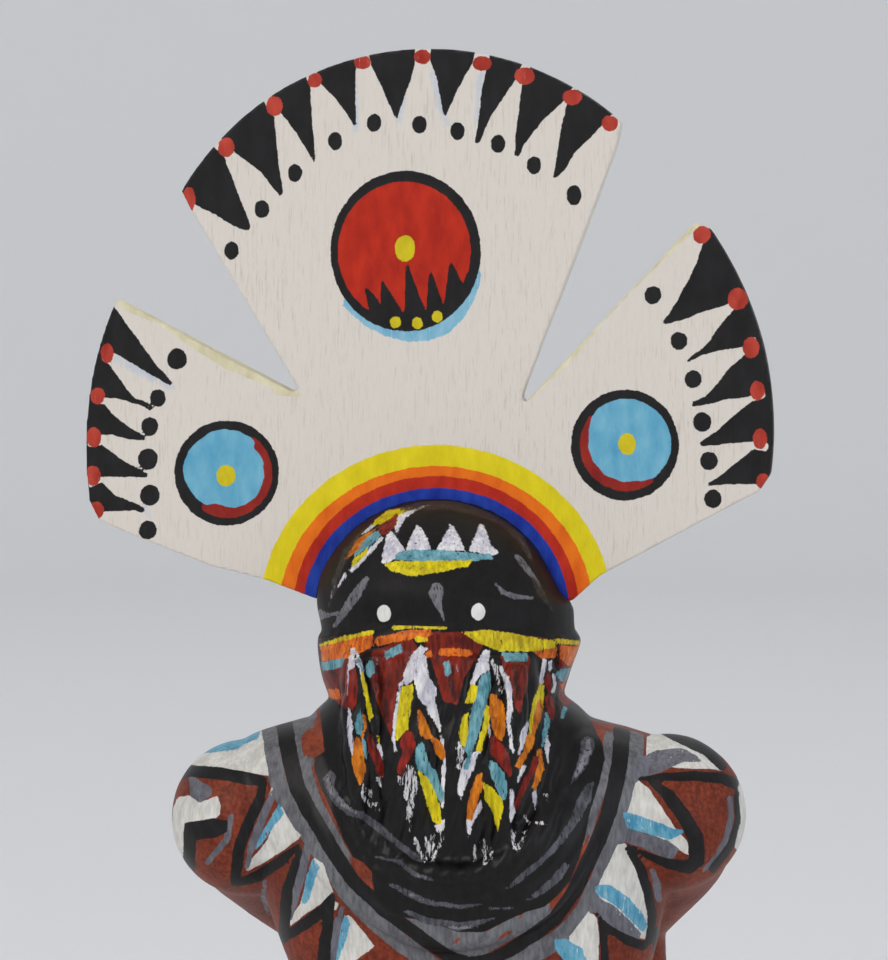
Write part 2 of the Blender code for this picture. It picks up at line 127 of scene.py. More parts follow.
# Hanging feathers: (x at the top, x at the tip, top, tip, half width)
FEATHERS = ((-13.3, -12.6, 123.6, 103.6, 1.9), (-8.9, -8.0, 124.0, 97.8, 1.9),
            (-5.7, -5.1, 123.6, 97.4, 1.8), (-1.4, -1.7, 124.0, 97.2, 1.9),
            (2.1, 1.0, 123.8, 98.4, 1.9), (6.7, 4.5, 123.6, 99.8, 2.0))
FEATHER_FRONT = ((97, -16.1), (104, -16.5), (112, -16.0), (119, -15.2), (124, -14.9))
FEATHER_SQUEEZE = 0.85

# The board's outline from the middle of its foot: (x, height)
FOOT_LEFT, LEFT_SHOULDER, LEFT_HEEL = (-16.2, 0.0), (-22.7, 2.4), (-43.9, 9.7)
LEFT_BELLY = ((-29.6, 4.1), (-38.8, 7.5))
LEFT_WING_ARC = ((-45.0, 11.7), (-45.5, 21.5), (-41.5, 37.7))
LEFT_NOTCH, RIGHT_NOTCH = (-18.0, 25.5), (9.0, 23.8)
LOBE_LEFT, LOBE_RIGHT = (-32.2, 49.0), ((21.4, 56.5), (19.2, 50.4))
TOP_LOBE_ARC = ((-33.3, 51.2), (-2.9, 68.9), (22.1, 59.6))
RIGHT_TIP, RIGHT_WING_ARC = (31.2, 47.3), ((33.1, 46.5), (38.3, 36.7), (40.6, 15.5))
RIGHT_HEEL, RIGHT_SHOULDER, FOOT_RIGHT = (39.2, 13.8), (19.4, 3.2), (15.9, 0.0)


def linear(code):
    """A hex sRGB colour as the linear colour that a shader takes."""
    channels = [int(code[i:i + 2], 16) / 255 for i in (1, 3, 5)]
    return tuple(c / 12.92 if c <= 0.04045 else ((c + 0.055) / 1.055) ** 2.4
                 for c in channels) + (1.0,)


def feed(tree, value, socket):
    """Links another node's output to a socket, or sets the socket to a plain value."""
    if isinstance(value, bpy.types.NodeSocket):
        tree.links.new(value, socket)
    else:
        socket.default_value = value


def add(tree, kind, inputs=(), **settings):
    """A node with its settings, its input values and its links."""
    made = tree.nodes.new(kind)
    for key, value in settings.items():
        setattr(made, key, value)
    for key, value in dict(inputs).items():
        feed(tree, value, made.inputs[key])
    return made


def open_tree(name, inputs):
    """A Geometry Nodes tree with the named inputs after its geometry, and those inputs."""
    tree = bpy.data.node_groups.new(name, "GeometryNodeTree")
    for title, kind in (("Geometry", "Geometry"), *inputs):
        tree.interface.new_socket(title, in_out="INPUT", socket_type="NodeSocket" + kind)
    tree.interface.new_socket("Geometry", in_out="OUTPUT", socket_type="NodeSocketGeometry")
    return tree, add(tree, "NodeGroupInput").outputs


def close_tree(tree, geometry, material):
    """Ends a tree in real geometry with its material, because the export drops instances."""
    real = add(tree, "GeometryNodeRealizeInstances", {"Geometry": geometry})
    dressed = add(tree, "GeometryNodeSetMaterial",
                  {"Geometry": real.outputs["Geometry"], "Material": material})
    add(tree, "NodeGroupOutput", {"Geometry": dressed.outputs["Geometry"]})
    return tree


def link_object(name, data):
    item = bpy.data.objects.new(name, data)
    bpy.context.scene.collection.objects.link(item)
    return item


def baked(item):
    """The object's evaluated shape as a new mesh; the object itself goes."""
    bpy.context.view_layer.update()
    shape = item.evaluated_get(bpy.context.evaluated_depsgraph_get())
    mesh = bpy.data.meshes.new_from_object(shape)
    bpy.data.objects.remove(item, do_unlink=True)
    return mesh


def coordinates(mesh):
    flat = np.zeros(len(mesh.vertices) * 3)
    mesh.vertices.foreach_get("co", flat)
    return flat.reshape(-1, 3)


def between(rows, steps):
    """Rows on a smooth curve through the given rows, `steps` to each span."""
    rows = np.array(rows, float)
    padded = np.vstack([rows[:1], rows, rows[-1:]])
    out = []
    for i in range(len(rows) - 1):
        a, b, c, d = padded[i:i + 4]
        for k in range(steps):
            t = k / steps
            out.append(0.5 * (2 * b + (c - a) * t + (2 * a - 5 * b + 4 * c - d) * t * t
                              + (3 * b - a - 3 * c + d) * t ** 3))
    out.append(rows[-1])
    return np.array(out)


# Carving


class Carving:
    """Closed shells gathered before they are fused into one solid."""

    def __init__(self):
        self.points, self.faces = [], []

    def add(self, points, faces):
        start = sum(len(p) for p in self.points)
        self.points.append(np.asarray(points, float))
        self.faces += [tuple(start + i for i in face) for face in faces]

    def loft(self, rings):
        """Rings of as many points each, closed by a flat face at both ends."""
        count, size = len(rings), len(rings[0])
        faces = [(r * size + i, r * size + (i + 1) % size,
                  (r + 1) * size + (i + 1) % size, (r + 1) * size + i)
                 for r in range(count - 1) for i in range(size)]
        faces.append(tuple(reversed(range(size))))
        faces.append(tuple((count - 1) * size + i for i in range(size)))
        self.add(np.vstack(rings), faces)

    def mesh(self, name):
        points = np.vstack(self.points)
        points = (points + (0.0, 0.0, SOLE)) * MM
        mesh = bpy.data.meshes.new(name)
        mesh.from_pydata(points.tolist(), [], self.faces)
        return mesh


def oval(section, squareness, points=160, ripple=None):
    height, x, y, half_width, half_depth = section
    angle = np.linspace(0, 2 * math.pi, points, endpoint=False)
    grow = 1 + (ripple(height, angle) if ripple else 0.0)
    c, s = np.cos(angle), np.sin(angle)
    return np.stack([x + half_width * grow * np.sign(c) * abs(c) ** (2 / squareness),
                     y + half_depth * grow * np.sign(s) * abs(s) ** (2 / squareness),
                     np.full(points, height)], 1)


def sections(table, squareness=2.2, steps=6, shift=0.0, ripple=None):
    return [oval((row[0], row[1] + shift, *row[2:]), squareness, ripple=ripple)
            for row in between(table, steps)]


def pleats(height, angle):
    hem, belt = KILT[0][0], KILT[-1][0]
    fade = max(0.0, (belt - height) / (belt - hem))
    wave = np.cos(KILT_PLEATS * angle)
    return PLEAT_DEPTH * fade * (wave - 0.25 * np.cos(2 * KILT_PLEATS * angle))


def band_rise(x, y):
    """How far the band's upper edge rises over the mouth, in front."""
    across = (x - BAND_X) / BAND_HALF_WIDTH
    return BAND_RISE * np.clip(1 - across ** 2, 0, 1) * np.clip(-y / BAND_RISE_DEPTH, 0, 1)


def head_rings():
    """The head's sections, lifted where the band's upper edge rises."""
    rings = sections(HEAD, 2.15)
    for ring in rings:
        near = np.interp(ring[:, 2], (117, 124.5, 127, 136), (0, 1, 1, 0))
        ring[:, 2] += band_rise(ring[:, 0], ring[:, 1]) * near
    return rings


def carve_head(carving):
    """Below the slot's floor the head is whole; above it stand a front and a back half."""
    rings = head_rings()
    low = [np.column_stack([r[:, :2], np.minimum(r[:, 2], SLOT_FLOOR)]) for r in rings]
    flat_from = next(i for i, r in enumerate(rings) if r[:, 2].min() > SLOT_FLOOR)
    carving.loft(low[:flat_from])
    upper = [r for r in rings if r[:, 2].max() > SLOT_FLOOR - 4]
    for limit, keep in ((SLOT_FRONT, np.minimum), (SLOT_BACK, np.maximum)):
        half = [np.column_stack([r[:, 0], keep(r[:, 1], limit), r[:, 2]]) for r in upper]
        half = [r for r in half if np.ptp(r[:, 1]) > 0.3]
        carving.loft(half)


def roll_tree():
    """Geometry Nodes: a round roll of carved wood along a curve, as thick as its radius."""
    tree, given = open_tree("carved_roll", (("Sides", "Int"), ("Unit Radius", "Float"), ("Caps", "Bool"),
                                            ("Material", "Material")))
    profile = add(tree, "GeometryNodeCurvePrimitiveCircle",
                  {"Resolution": given["Sides"], "Radius": given["Unit Radius"]})
    radius = add(tree, "GeometryNodeInputRadius").outputs[0]
    sweep = add(tree, "GeometryNodeCurveToMesh",
                {"Curve": given["Geometry"], "Profile Curve": profile.outputs["Curve"],
                 "Scale": radius, "Fill Caps": given["Caps"]})
    return close_tree(tree, sweep.outputs["Mesh"], given["Material"])


def set_inputs(modifier, tree, values):
    """Sets a modifier's inputs by the identifiers of their sockets."""
    for socket in tree.interface.items_tree:
        if socket.in_out == "INPUT" and socket.name in values:
            modifier[socket.identifier] = values[socket.name]


def carve_roll(carving, tree, points, radii, closed=False, flatten=1.0, sides=32):
    """Sweeps one roll along a path and adds it to the carving."""
    curve = bpy.data.curves.new("roll", "CURVE")
    curve.dimensions = "3D"
    spline = curve.splines.new("POLY")
    spline.points.add(len(points) - 1)
    for point, place, radius in zip(spline.points, points, radii):
        point.co = (place[0], place[1] / flatten, place[2], 1.0)
        point.radius = radius
    spline.use_cyclic_u = closed
    item = link_object("roll", curve)
    modifier = item.modifiers.new("roll", "NODES")
    modifier.node_group = tree
    set_inputs(modifier, tree, {"Sides": sides, "Unit Radius": 1.0, "Caps": not closed})
    mesh = baked(item)
    carving.add(coordinates(mesh) * (1.0, flatten, 1.0), [tuple(p.vertices) for p in mesh.polygons])
    bpy.data.curves.remove(curve)
    bpy.data.meshes.remove(mesh)


def fold_path(width, low, reach, back_low, back_reach, steps=96):
    angle = np.linspace(0, 2 * math.pi, steps, endpoint=False)
    c, s = np.cos(angle), np.sin(angle)
    front = s >= 0
    lean = HEAD_X + 1.0 + FOLD_LEAN * np.clip(s, 0, None)
    away = np.where(front, -reach, back_reach) * abs(s) ** FOLD_WRAP
    lowest = np.where(front, low, back_low)
    return np.stack([lean + width * c, away,
                     FOLD_SIDE_LEVEL + (lowest - FOLD_SIDE_LEVEL) * abs(s)], 1)


def carve_folds(carving, tree):
    for k in range(FOLD_COUNT):
        share = k / (FOLD_COUNT - 1)
        *loop, radius = (a + (b - a) * share for a, b in zip(FOLD_INNER, FOLD_OUTER))
        path = fold_path(*loop)
        wave = 1 + 0.10 * np.sin(np.arange(len(path)) * 0.55 + 2.0 * k)
        carve_roll(carving, tree, path, radius * wave, closed=True, sides=24)


def carve_feathers(carving, tree, steps=30):
    heights, fronts = zip(*FEATHER_FRONT)
    for top_x, tip_x, top, tip, half_width in FEATHERS:
        t = np.linspace(0, 1, steps + 1)
        z = top + (tip - top) * t
        path = np.stack([top_x + (tip_x - top_x) * t, np.interp(z, heights, fronts), z], 1)
        radii = half_width * np.maximum(0.18, np.sin(math.pi * (0.12 + 0.86 * t)) ** 0.6)
        carve_roll(carving, tree, path, radii, flatten=FEATHER_SQUEEZE, sides=20)


def on_side(rows, side):
    """Rows of an arm on one side, leaning from the shoulders' middle to the hips'."""
    rows = np.atleast_2d(np.array(rows, float))
    high = (rows[:, 2] - FIST[2]) / (SHOULDER[2] - FIST[2])
    middle = HIP_MIDDLE + (SHOULDER_MIDDLE - HIP_MIDDLE) * high
    return np.stack([side * rows[:, 0] + middle, rows[:, 1],
                     rows[:, 2] + SHOULDER_TILT * side * high, rows[:, 3]], 1)


def carve_ball(carving, place, radius, rings=24, points=40):
    tilt = np.linspace(-math.pi / 2, math.pi / 2, rings + 1)
    tilt[0], tilt[-1] = tilt[0] + 0.02, tilt[-1] - 0.02
    angle = np.linspace(0, 2 * math.pi, points, endpoint=False)
    carving.loft([np.stack([place[0] + radius * math.cos(t) * np.cos(angle),
                            place[1] + radius * math.cos(t) * np.sin(angle),
                            np.full(points, place[2] + radius * math.sin(t))], 1)
                  for t in tilt])


def carve_arm(carving, tree, side):
    for row in (SHOULDER, ELBOW, FIST):
        x, y, z, radius = on_side(row, side)[0]
        carve_ball(carving, (x, y, z), radius)
    for rows in (UPPER_ARM, FOREARM):
        rows = on_side(between(rows, 8), side)
        carve_roll(carving, tree, rows[:, :3], rows[:, 3], sides=40)


def waves(points, length, seed, count=9):
    """Smooth unevenness from -1 to 1 with bumps of about the given length."""
    random = np.random.default_rng(seed)
    total = np.zeros(len(points))
    for _ in range(count):
        way = random.normal(size=3)
        way *= 2 * math.pi / (length * random.uniform(0.7, 1.5) * np.linalg.norm(way))
        total += np.sin(points @ way + random.uniform(0, 2 * math.pi))
    return np.clip(total / math.sqrt(count), -1.6, 1.6) / 1.6


def read_points(mesh):
    return coordinates(mesh) / MM


def read_normals(mesh):
    flat = np.zeros(len(mesh.vertices) * 3, np.float32)
    mesh.vertex_normals.foreach_get("vector", flat)
    return flat.reshape(-1, 3).astype(float)


def write_points(mesh, points):
    mesh.vertices.foreach_set("co", (points * MM).astype(np.float32).ravel())
    mesh.update()


def fused(name, mesh, voxel, smoothing):
    """One closed skin round everything in the mesh, a little softened."""
    item = link_object(name + "_rough", mesh)
    remesh = item.modifiers.new("fuse", "REMESH")
    remesh.mode = "VOXEL"
    remesh.voxel_size = voxel * MM
    soften = item.modifiers.new("soften", "SMOOTH")
    soften.factor = 0.5
    soften.iterations = smoothing
    return baked(item)


def above_soles(points):
    return points - (0.0, 0.0, SOLE)


def towards_camera():
    """The direction from the point that the camera aims at to the camera."""
    flat = math.cos(CAMERA_ELEVATION)
    return (math.sin(CAMERA_AZIMUTH) * flat, -math.cos(CAMERA_AZIMUTH) * flat,
            math.sin(CAMERA_ELEVATION))


def sheet_place(points):
    """Where points of the figure (above the soles) fall on the painting's sheet."""
    right = np.array((math.cos(CAMERA_AZIMUTH), math.sin(CAMERA_AZIMUTH), 0.0))
    back = np.array(towards_camera())
    up = np.cross(back, right)
    offset = points + (0, 0, SOLE) - np.array(CAMERA_AIM)
    focal = LENS / SENSOR * SHEET_HEIGHT
    depth = CAMERA_DISTANCE - offset @ back
    return (SHEET_WIDTH / 2 + focal * (offset @ right) / depth,
            SHEET_HEIGHT / 2 - focal * (offset @ up) / depth)


def carve_relief(mesh):
    """What the knife leaves on the fused figure, and the body of the paint over it."""
    points, normals = read_points(mesh), read_normals(mesh)
    p = above_soles(points)
    px, py = sheet_place(p)
    y, z = p[:, 1], p[:, 2]
    front = np.clip(-y / 3 - 1, 0, 1)
    in_slot = (z > SLOT_FLOOR - 0.8) & (y > SLOT_FRONT - 0.4) & (y < SLOT_BACK + 0.4)
    free = np.clip((z - 1.0) / 2, 0, 1) * ~in_slot
    lift = 0.06 * waves(p, 7.0, 3) + 0.02 * waves(p, 2.6, 4)

    # A groove under the band's upper edge, and a short crack at its end
    groove = distance(stroke((1.0,), *BAND_TOP), px, py - 4) * SHEET_UNIT
    lift -= 0.30 * front * np.exp(-(groove / 0.45) ** 2)
    crack = distance(BAND_CRACK, px, py) * SHEET_UNIT
    lift -= 0.55 * front * np.exp(-np.clip(crack / 0.22, 0, 9) ** 2)

    # Slanting knife cuts down the fringe
    hanging = front * np.clip((z - 97) / 3, 0, 1) * np.clip((123 - z) / 3, 0, 1)
    hanging *= (px > 340) & (px < 560)
    lift += 0.11 * hanging * np.sin(2 * math.pi * (px * 0.9 + py * 0.35) / 15.0)
    lift += 0.06 * hanging * waves(p * (2.2, 1.0, 0.7), 2.2, 8)

    # Loaded strokes stand a little proud
    loaded = CROWN + CROWN_YELLOW + EYES + BAND_YELLOW
    for group in FEATHER_MARKS.values():
        loaded += group
    thick = np.clip(-nearest(loaded, px, py) / 0.2, 0, 1) * (y < 0) * (z > 84)
    lift += PAINT_BODY * thick * (1 + 0.5 * waves(p * (3.0, 1.0, 0.8), 1.6, 9))
    write_points(mesh, points + normals * (lift * free)[:, None])


def refine(mesh, zone, longest):
    """Splits the edges over a length inside a zone, for the finer brushwork there."""
    chosen = zone(above_soles(read_points(mesh)))
    shape = bmesh.new()
    shape.from_mesh(mesh)
    edges = [e for e in shape.edges
             if chosen[e.verts[0].index] and chosen[e.verts[1].index]
             and e.calc_length() > longest * MM]
    bmesh.ops.subdivide_edges(shape, edges=edges, cuts=1, use_grid_fill=True)
    bmesh.ops.triangulate(shape, faces=[f for f in shape.faces if len(f.verts) > 4])
    shape.to_mesh(mesh)
    shape.free()


def pressed(name, mesh, skin):
    """The mesh laid onto a finer skin, which brings back what the coarser one lost."""
    item, target = link_object(name + "_even", mesh), link_object(name + "_skin", skin)
    press = item.modifiers.new("press", "SHRINKWRAP")
    press.target = target
    soften = item.modifiers.new("soften", "SMOOTH")
    soften.factor, soften.iterations = 0.35, 2
    again = item.modifiers.new("press_again", "SHRINKWRAP")
    again.target = target
    mesh = baked(item)
    bpy.data.objects.remove(target, do_unlink=True)
    return mesh


# Paint: marks on the sheet


def stroke(widths, *places):
    """A brush stroke: half widths spread evenly along it, and the places it passes."""
    return "stroke", widths, places


def spot(x, y, rx, ry):
    return "spot", (x, y, rx, ry), ()


def patch(*places):
    return "patch", (), places


def distance(mark, px, py):
    """How far sheet places are outside a mark, in sheet units, and below 0 inside it."""
    kind, sizes, places = mark
    if kind == "spot":
        x, y, rx, ry = sizes
        dx, dy = px - x, py - y
        k = np.sqrt((dx / rx) ** 2 + (dy / ry) ** 2) + 1e-9
        return np.hypot(dx, dy) * (1 - 1 / k) - np.where(k < 1e-3, min(rx, ry), 0)
    places = np.array(places, float)
    best = np.full(len(px), 1e9)
    if kind == "stroke":
        halves = np.full(len(places), sizes[0], float)
        if len(sizes) > 1:
            halves = np.interp(np.linspace(0, 1, len(places)), np.linspace(0, 1, len(sizes)), sizes)
        if len(places) == 1:
            return np.hypot(px - places[0][0], py - places[0][1]) - halves[0]
        for (a, b, ra, rb) in zip(places, places[1:], halves, halves[1:]):
            way = b - a
            along = np.clip(((px - a[0]) * way[0] + (py - a[1]) * way[1]) / (way @ way), 0, 1)
            gap = np.hypot(px - a[0] - along * way[0], py - a[1] - along * way[1])
            best = np.minimum(best, gap - (ra + (rb - ra) * along))
        return best
    inside = np.zeros(len(px), bool)
    for a, b in zip(places, np.roll(places, -1, 0)):
        way = b - a
        along = np.clip(((px - a[0]) * way[0] + (py - a[1]) * way[1]) / (way @ way), 0, 1)
        best = np.minimum(best, np.hypot(px - a[0] - along * way[0], py - a[1] - along * way[1]))
        crosses = (a[1] > py) != (b[1] > py)
        with np.errstate(divide="ignore", invalid="ignore"):
            inside ^= crosses & (px < (b[0] - a[0]) * (py - a[1]) / (b[1] - a[1]) + a[0])
    return np.where(inside, -best, best)


def nearest(marks, px, py):
    """The distance to the nearest of several marks, in millimetres."""
    best = np.full(len(px), FAR)
    for mark in marks:
        best = np.minimum(best, distance(mark, px, py) * SHEET_UNIT)
    return best


# Hood and band, on the sheet

BAND_TOP = ((319, 643), (325, 641), (363, 632), (407, 625), (430, 625), (463, 629), (491, 630),
            (530, 637), (583, 643))
BAND_CRACK = stroke((0.8, 1.2, 0.8), (557.5, 640), (556.5, 652), (558, 667))

CROWN = (
    patch((391, 530), (405, 549), (398, 557), (386, 564), (381, 563), (384, 551), (385, 538)),
    patch((417, 524), (421, 527), (432, 551), (405, 555), (412, 534)),
    patch((450, 525), (454, 527), (466, 551), (436, 551), (446, 532)),
    patch((480, 523), (484, 525), (490, 544), (498, 553), (488, 556), (469, 551), (475, 536)),
)
CROWN_BLUE = (
    patch((395, 559), (399, 552), (416, 549), (442, 550), (466, 552), (490, 554), (494, 559),
          (471, 561), (446, 561), (416, 562)),
)
CROWN_YELLOW = (
    patch((384, 564), (394, 561), (434, 561), (474, 560), (468, 566), (442, 572), (416, 576),
          (405, 575), (390, 571)),
)
FOREHEAD = {
    "white": (
        patch((431, 505), (423, 506), (409, 510), (397, 515), (393, 525), (397, 533), (405, 518),
              (416, 511)),
        patch((360, 535), (375, 522), (377, 525), (366, 533)),
        patch((381, 536), (384, 538), (368, 556), (357, 568), (351, 574), (350, 570), (354, 565)),
        stroke((1.6, 1.2), (345, 575), (338, 586)), stroke((1.3, 0.9), (335, 587), (331, 598)),
    ),
    "yellow": (
        patch((374, 521), (388, 510), (413, 507), (394, 518), (383, 524), (372, 526)),
        patch((354, 558), (368, 547), (366, 555), (357, 564), (352, 566)),
    ),
    "red": (patch((380, 525), (398, 513), (396, 525), (388, 533), (382, 536), (378, 531)),),
    "blue": (patch((364, 536), (379, 530), (381, 535), (368, 548), (358, 555), (353, 557), (358, 545)),),
    "orange": (patch((355, 540), (379, 526), (366, 539), (357, 551), (347, 559), (343, 561), (351, 549)),),
}
# Painted highlights: grey strokes on the hood's ear lump, nose line and sides, and a thin bright line on
# the dome
HOOD_HIGHLIGHTS = (
    patch((366, 576), (370, 579), (361, 596), (350, 611), (335, 628), (332, 627), (338, 616),
          (347, 599), (358, 584)),
    patch((316, 612), (321, 609), (327, 613), (339, 611), (339, 615), (325, 618), (321, 620), (316, 616)),
    patch((432, 584), (438, 582), (443, 588), (442, 601), (443, 612), (446, 624), (440, 614),
          (434, 605), (429, 594)),
    stroke((1.6, 2.4, 2.6, 1.6), (496, 584), (503, 592), (514, 596.5), (532, 598)),
    patch((513, 554), (521, 556), (531, 569), (538, 580), (541, 588), (531, 577), (519, 565)),
    stroke((0.8,), (518, 536), (527, 549), (530, 557)),
)
HOOD_RIDGE = (
    stroke((2, 5, 5, 3), (402, 509), (420, 506), (445, 504), (470, 509), (496, 519)),
    stroke((2, 4, 2), (500, 521), (520, 537), (530, 557)), stroke((2, 3, 1), (533, 579), (542, 594),
           (552, 610)),
    stroke((1, 3, 3, 1), (362, 531), (346, 553), (336, 580), (329, 606)),
)
EYES = (spot(384, 613.4, 7.0, 8.6), spot(478.3, 611.7, 7.0, 8.6))

BAND_GROUND = (
    patch((314, 640), (363, 632), (407, 625), (430, 625), (463, 629), (491, 630), (530, 637),
          (588, 643), (584, 668), (577, 692), (562, 706), (545, 712), (350, 726), (344, 712),
          (327, 692), (318, 668)),
)
BAND_RED = (
    patch((322, 650), (348, 645), (349, 666), (347, 709), (340, 705), (326, 690), (321, 668)),
    patch((371, 650), (381, 648), (410, 636), (417, 647), (403, 678), (397, 690), (394, 713), (393, 732),
          (392, 742), (389, 732), (383, 716), (376, 701), (371, 678)),
    patch((427, 632), (466, 632), (484, 644), (477, 657), (464, 678), (460, 694), (458, 705),
          (452, 703), (443, 702), (437, 678), (431, 660), (424, 645)),
    patch((500, 656), (530, 656), (528, 678), (523, 701), (520, 714), (515, 708), (510, 686), (503, 668)),
    patch((559, 645), (582, 647), (578, 675), (574, 699), (564, 709), (559, 690)),
)
# Painted shade: dark strokes in the grooves between the feather bundles, at the band's left end and along
# the crack
BAND_GROOVE_SHADE = (
    stroke((3, 5, 2), (378, 668), (380, 690), (388, 722)), stroke((2, 3, 2), (452, 664), (451, 682),
           (455, 700)),
    stroke((2, 3), (514, 668), (519, 698)), stroke((3, 4), (331, 672), (343, 690)),
    stroke((1.4,), (556.5, 643), (558, 668)),
)
BAND_ORANGE = (
    patch((320, 647), (345, 638), (372, 634), (374, 646), (362, 652), (348, 658), (322, 662)),
    stroke((5, 4), (380, 641), (412, 634), (428, 633)), stroke((3, 4, 3), (441, 652), (455, 652),
           (470, 653)),
    patch((424, 652), (431, 650), (432, 657), (426, 658)), patch((532, 651), (556, 648), (557, 657),
          (543, 659)),
    patch((560, 645), (582, 647), (580, 664), (568, 666), (560, 658)),
    patch((327, 689), (339, 689), (341, 700), (330, 698)),
    patch((560, 684), (577, 680), (573, 694), (563, 692)),
)
BAND_YELLOW = (
    patch((461, 632), (490, 630), (527, 636), (555, 641), (556, 648), (528, 652), (499, 651), (476, 642)),
    stroke((1.6, 2.2, 1.6), (321, 645), (345, 638), (372, 632)),
    stroke((2, 2.4, 1.4), (393, 628), (408, 626), (446, 628)),
    patch((414, 636), (428, 638), (429, 642), (416, 642)), stroke((2.6, 2.4), (557, 641), (580, 643)),
    spot(571, 686, 4, 3),
)
BAND_BLUE = (
    patch((321, 662), (344, 658), (342, 667), (323, 671)), patch((384, 652), (401, 643), (402, 652),
          (386, 660)),
    patch((365, 666), (370, 660), (374, 662), (375, 673), (369, 678), (366, 674)),
    patch((443, 662), (449, 660), (451, 673), (446, 677)), patch((501, 652), (528, 653), (527, 661),
          (505, 662)),
    patch((555, 675), (560, 669), (573, 668), (572, 677), (562, 682)),
    stroke((1,), (456, 664), (458, 671)),
    stroke((2.4, 1.4), (565, 709), (562, 717)), stroke((1,), (377, 658), (378, 664)),
)

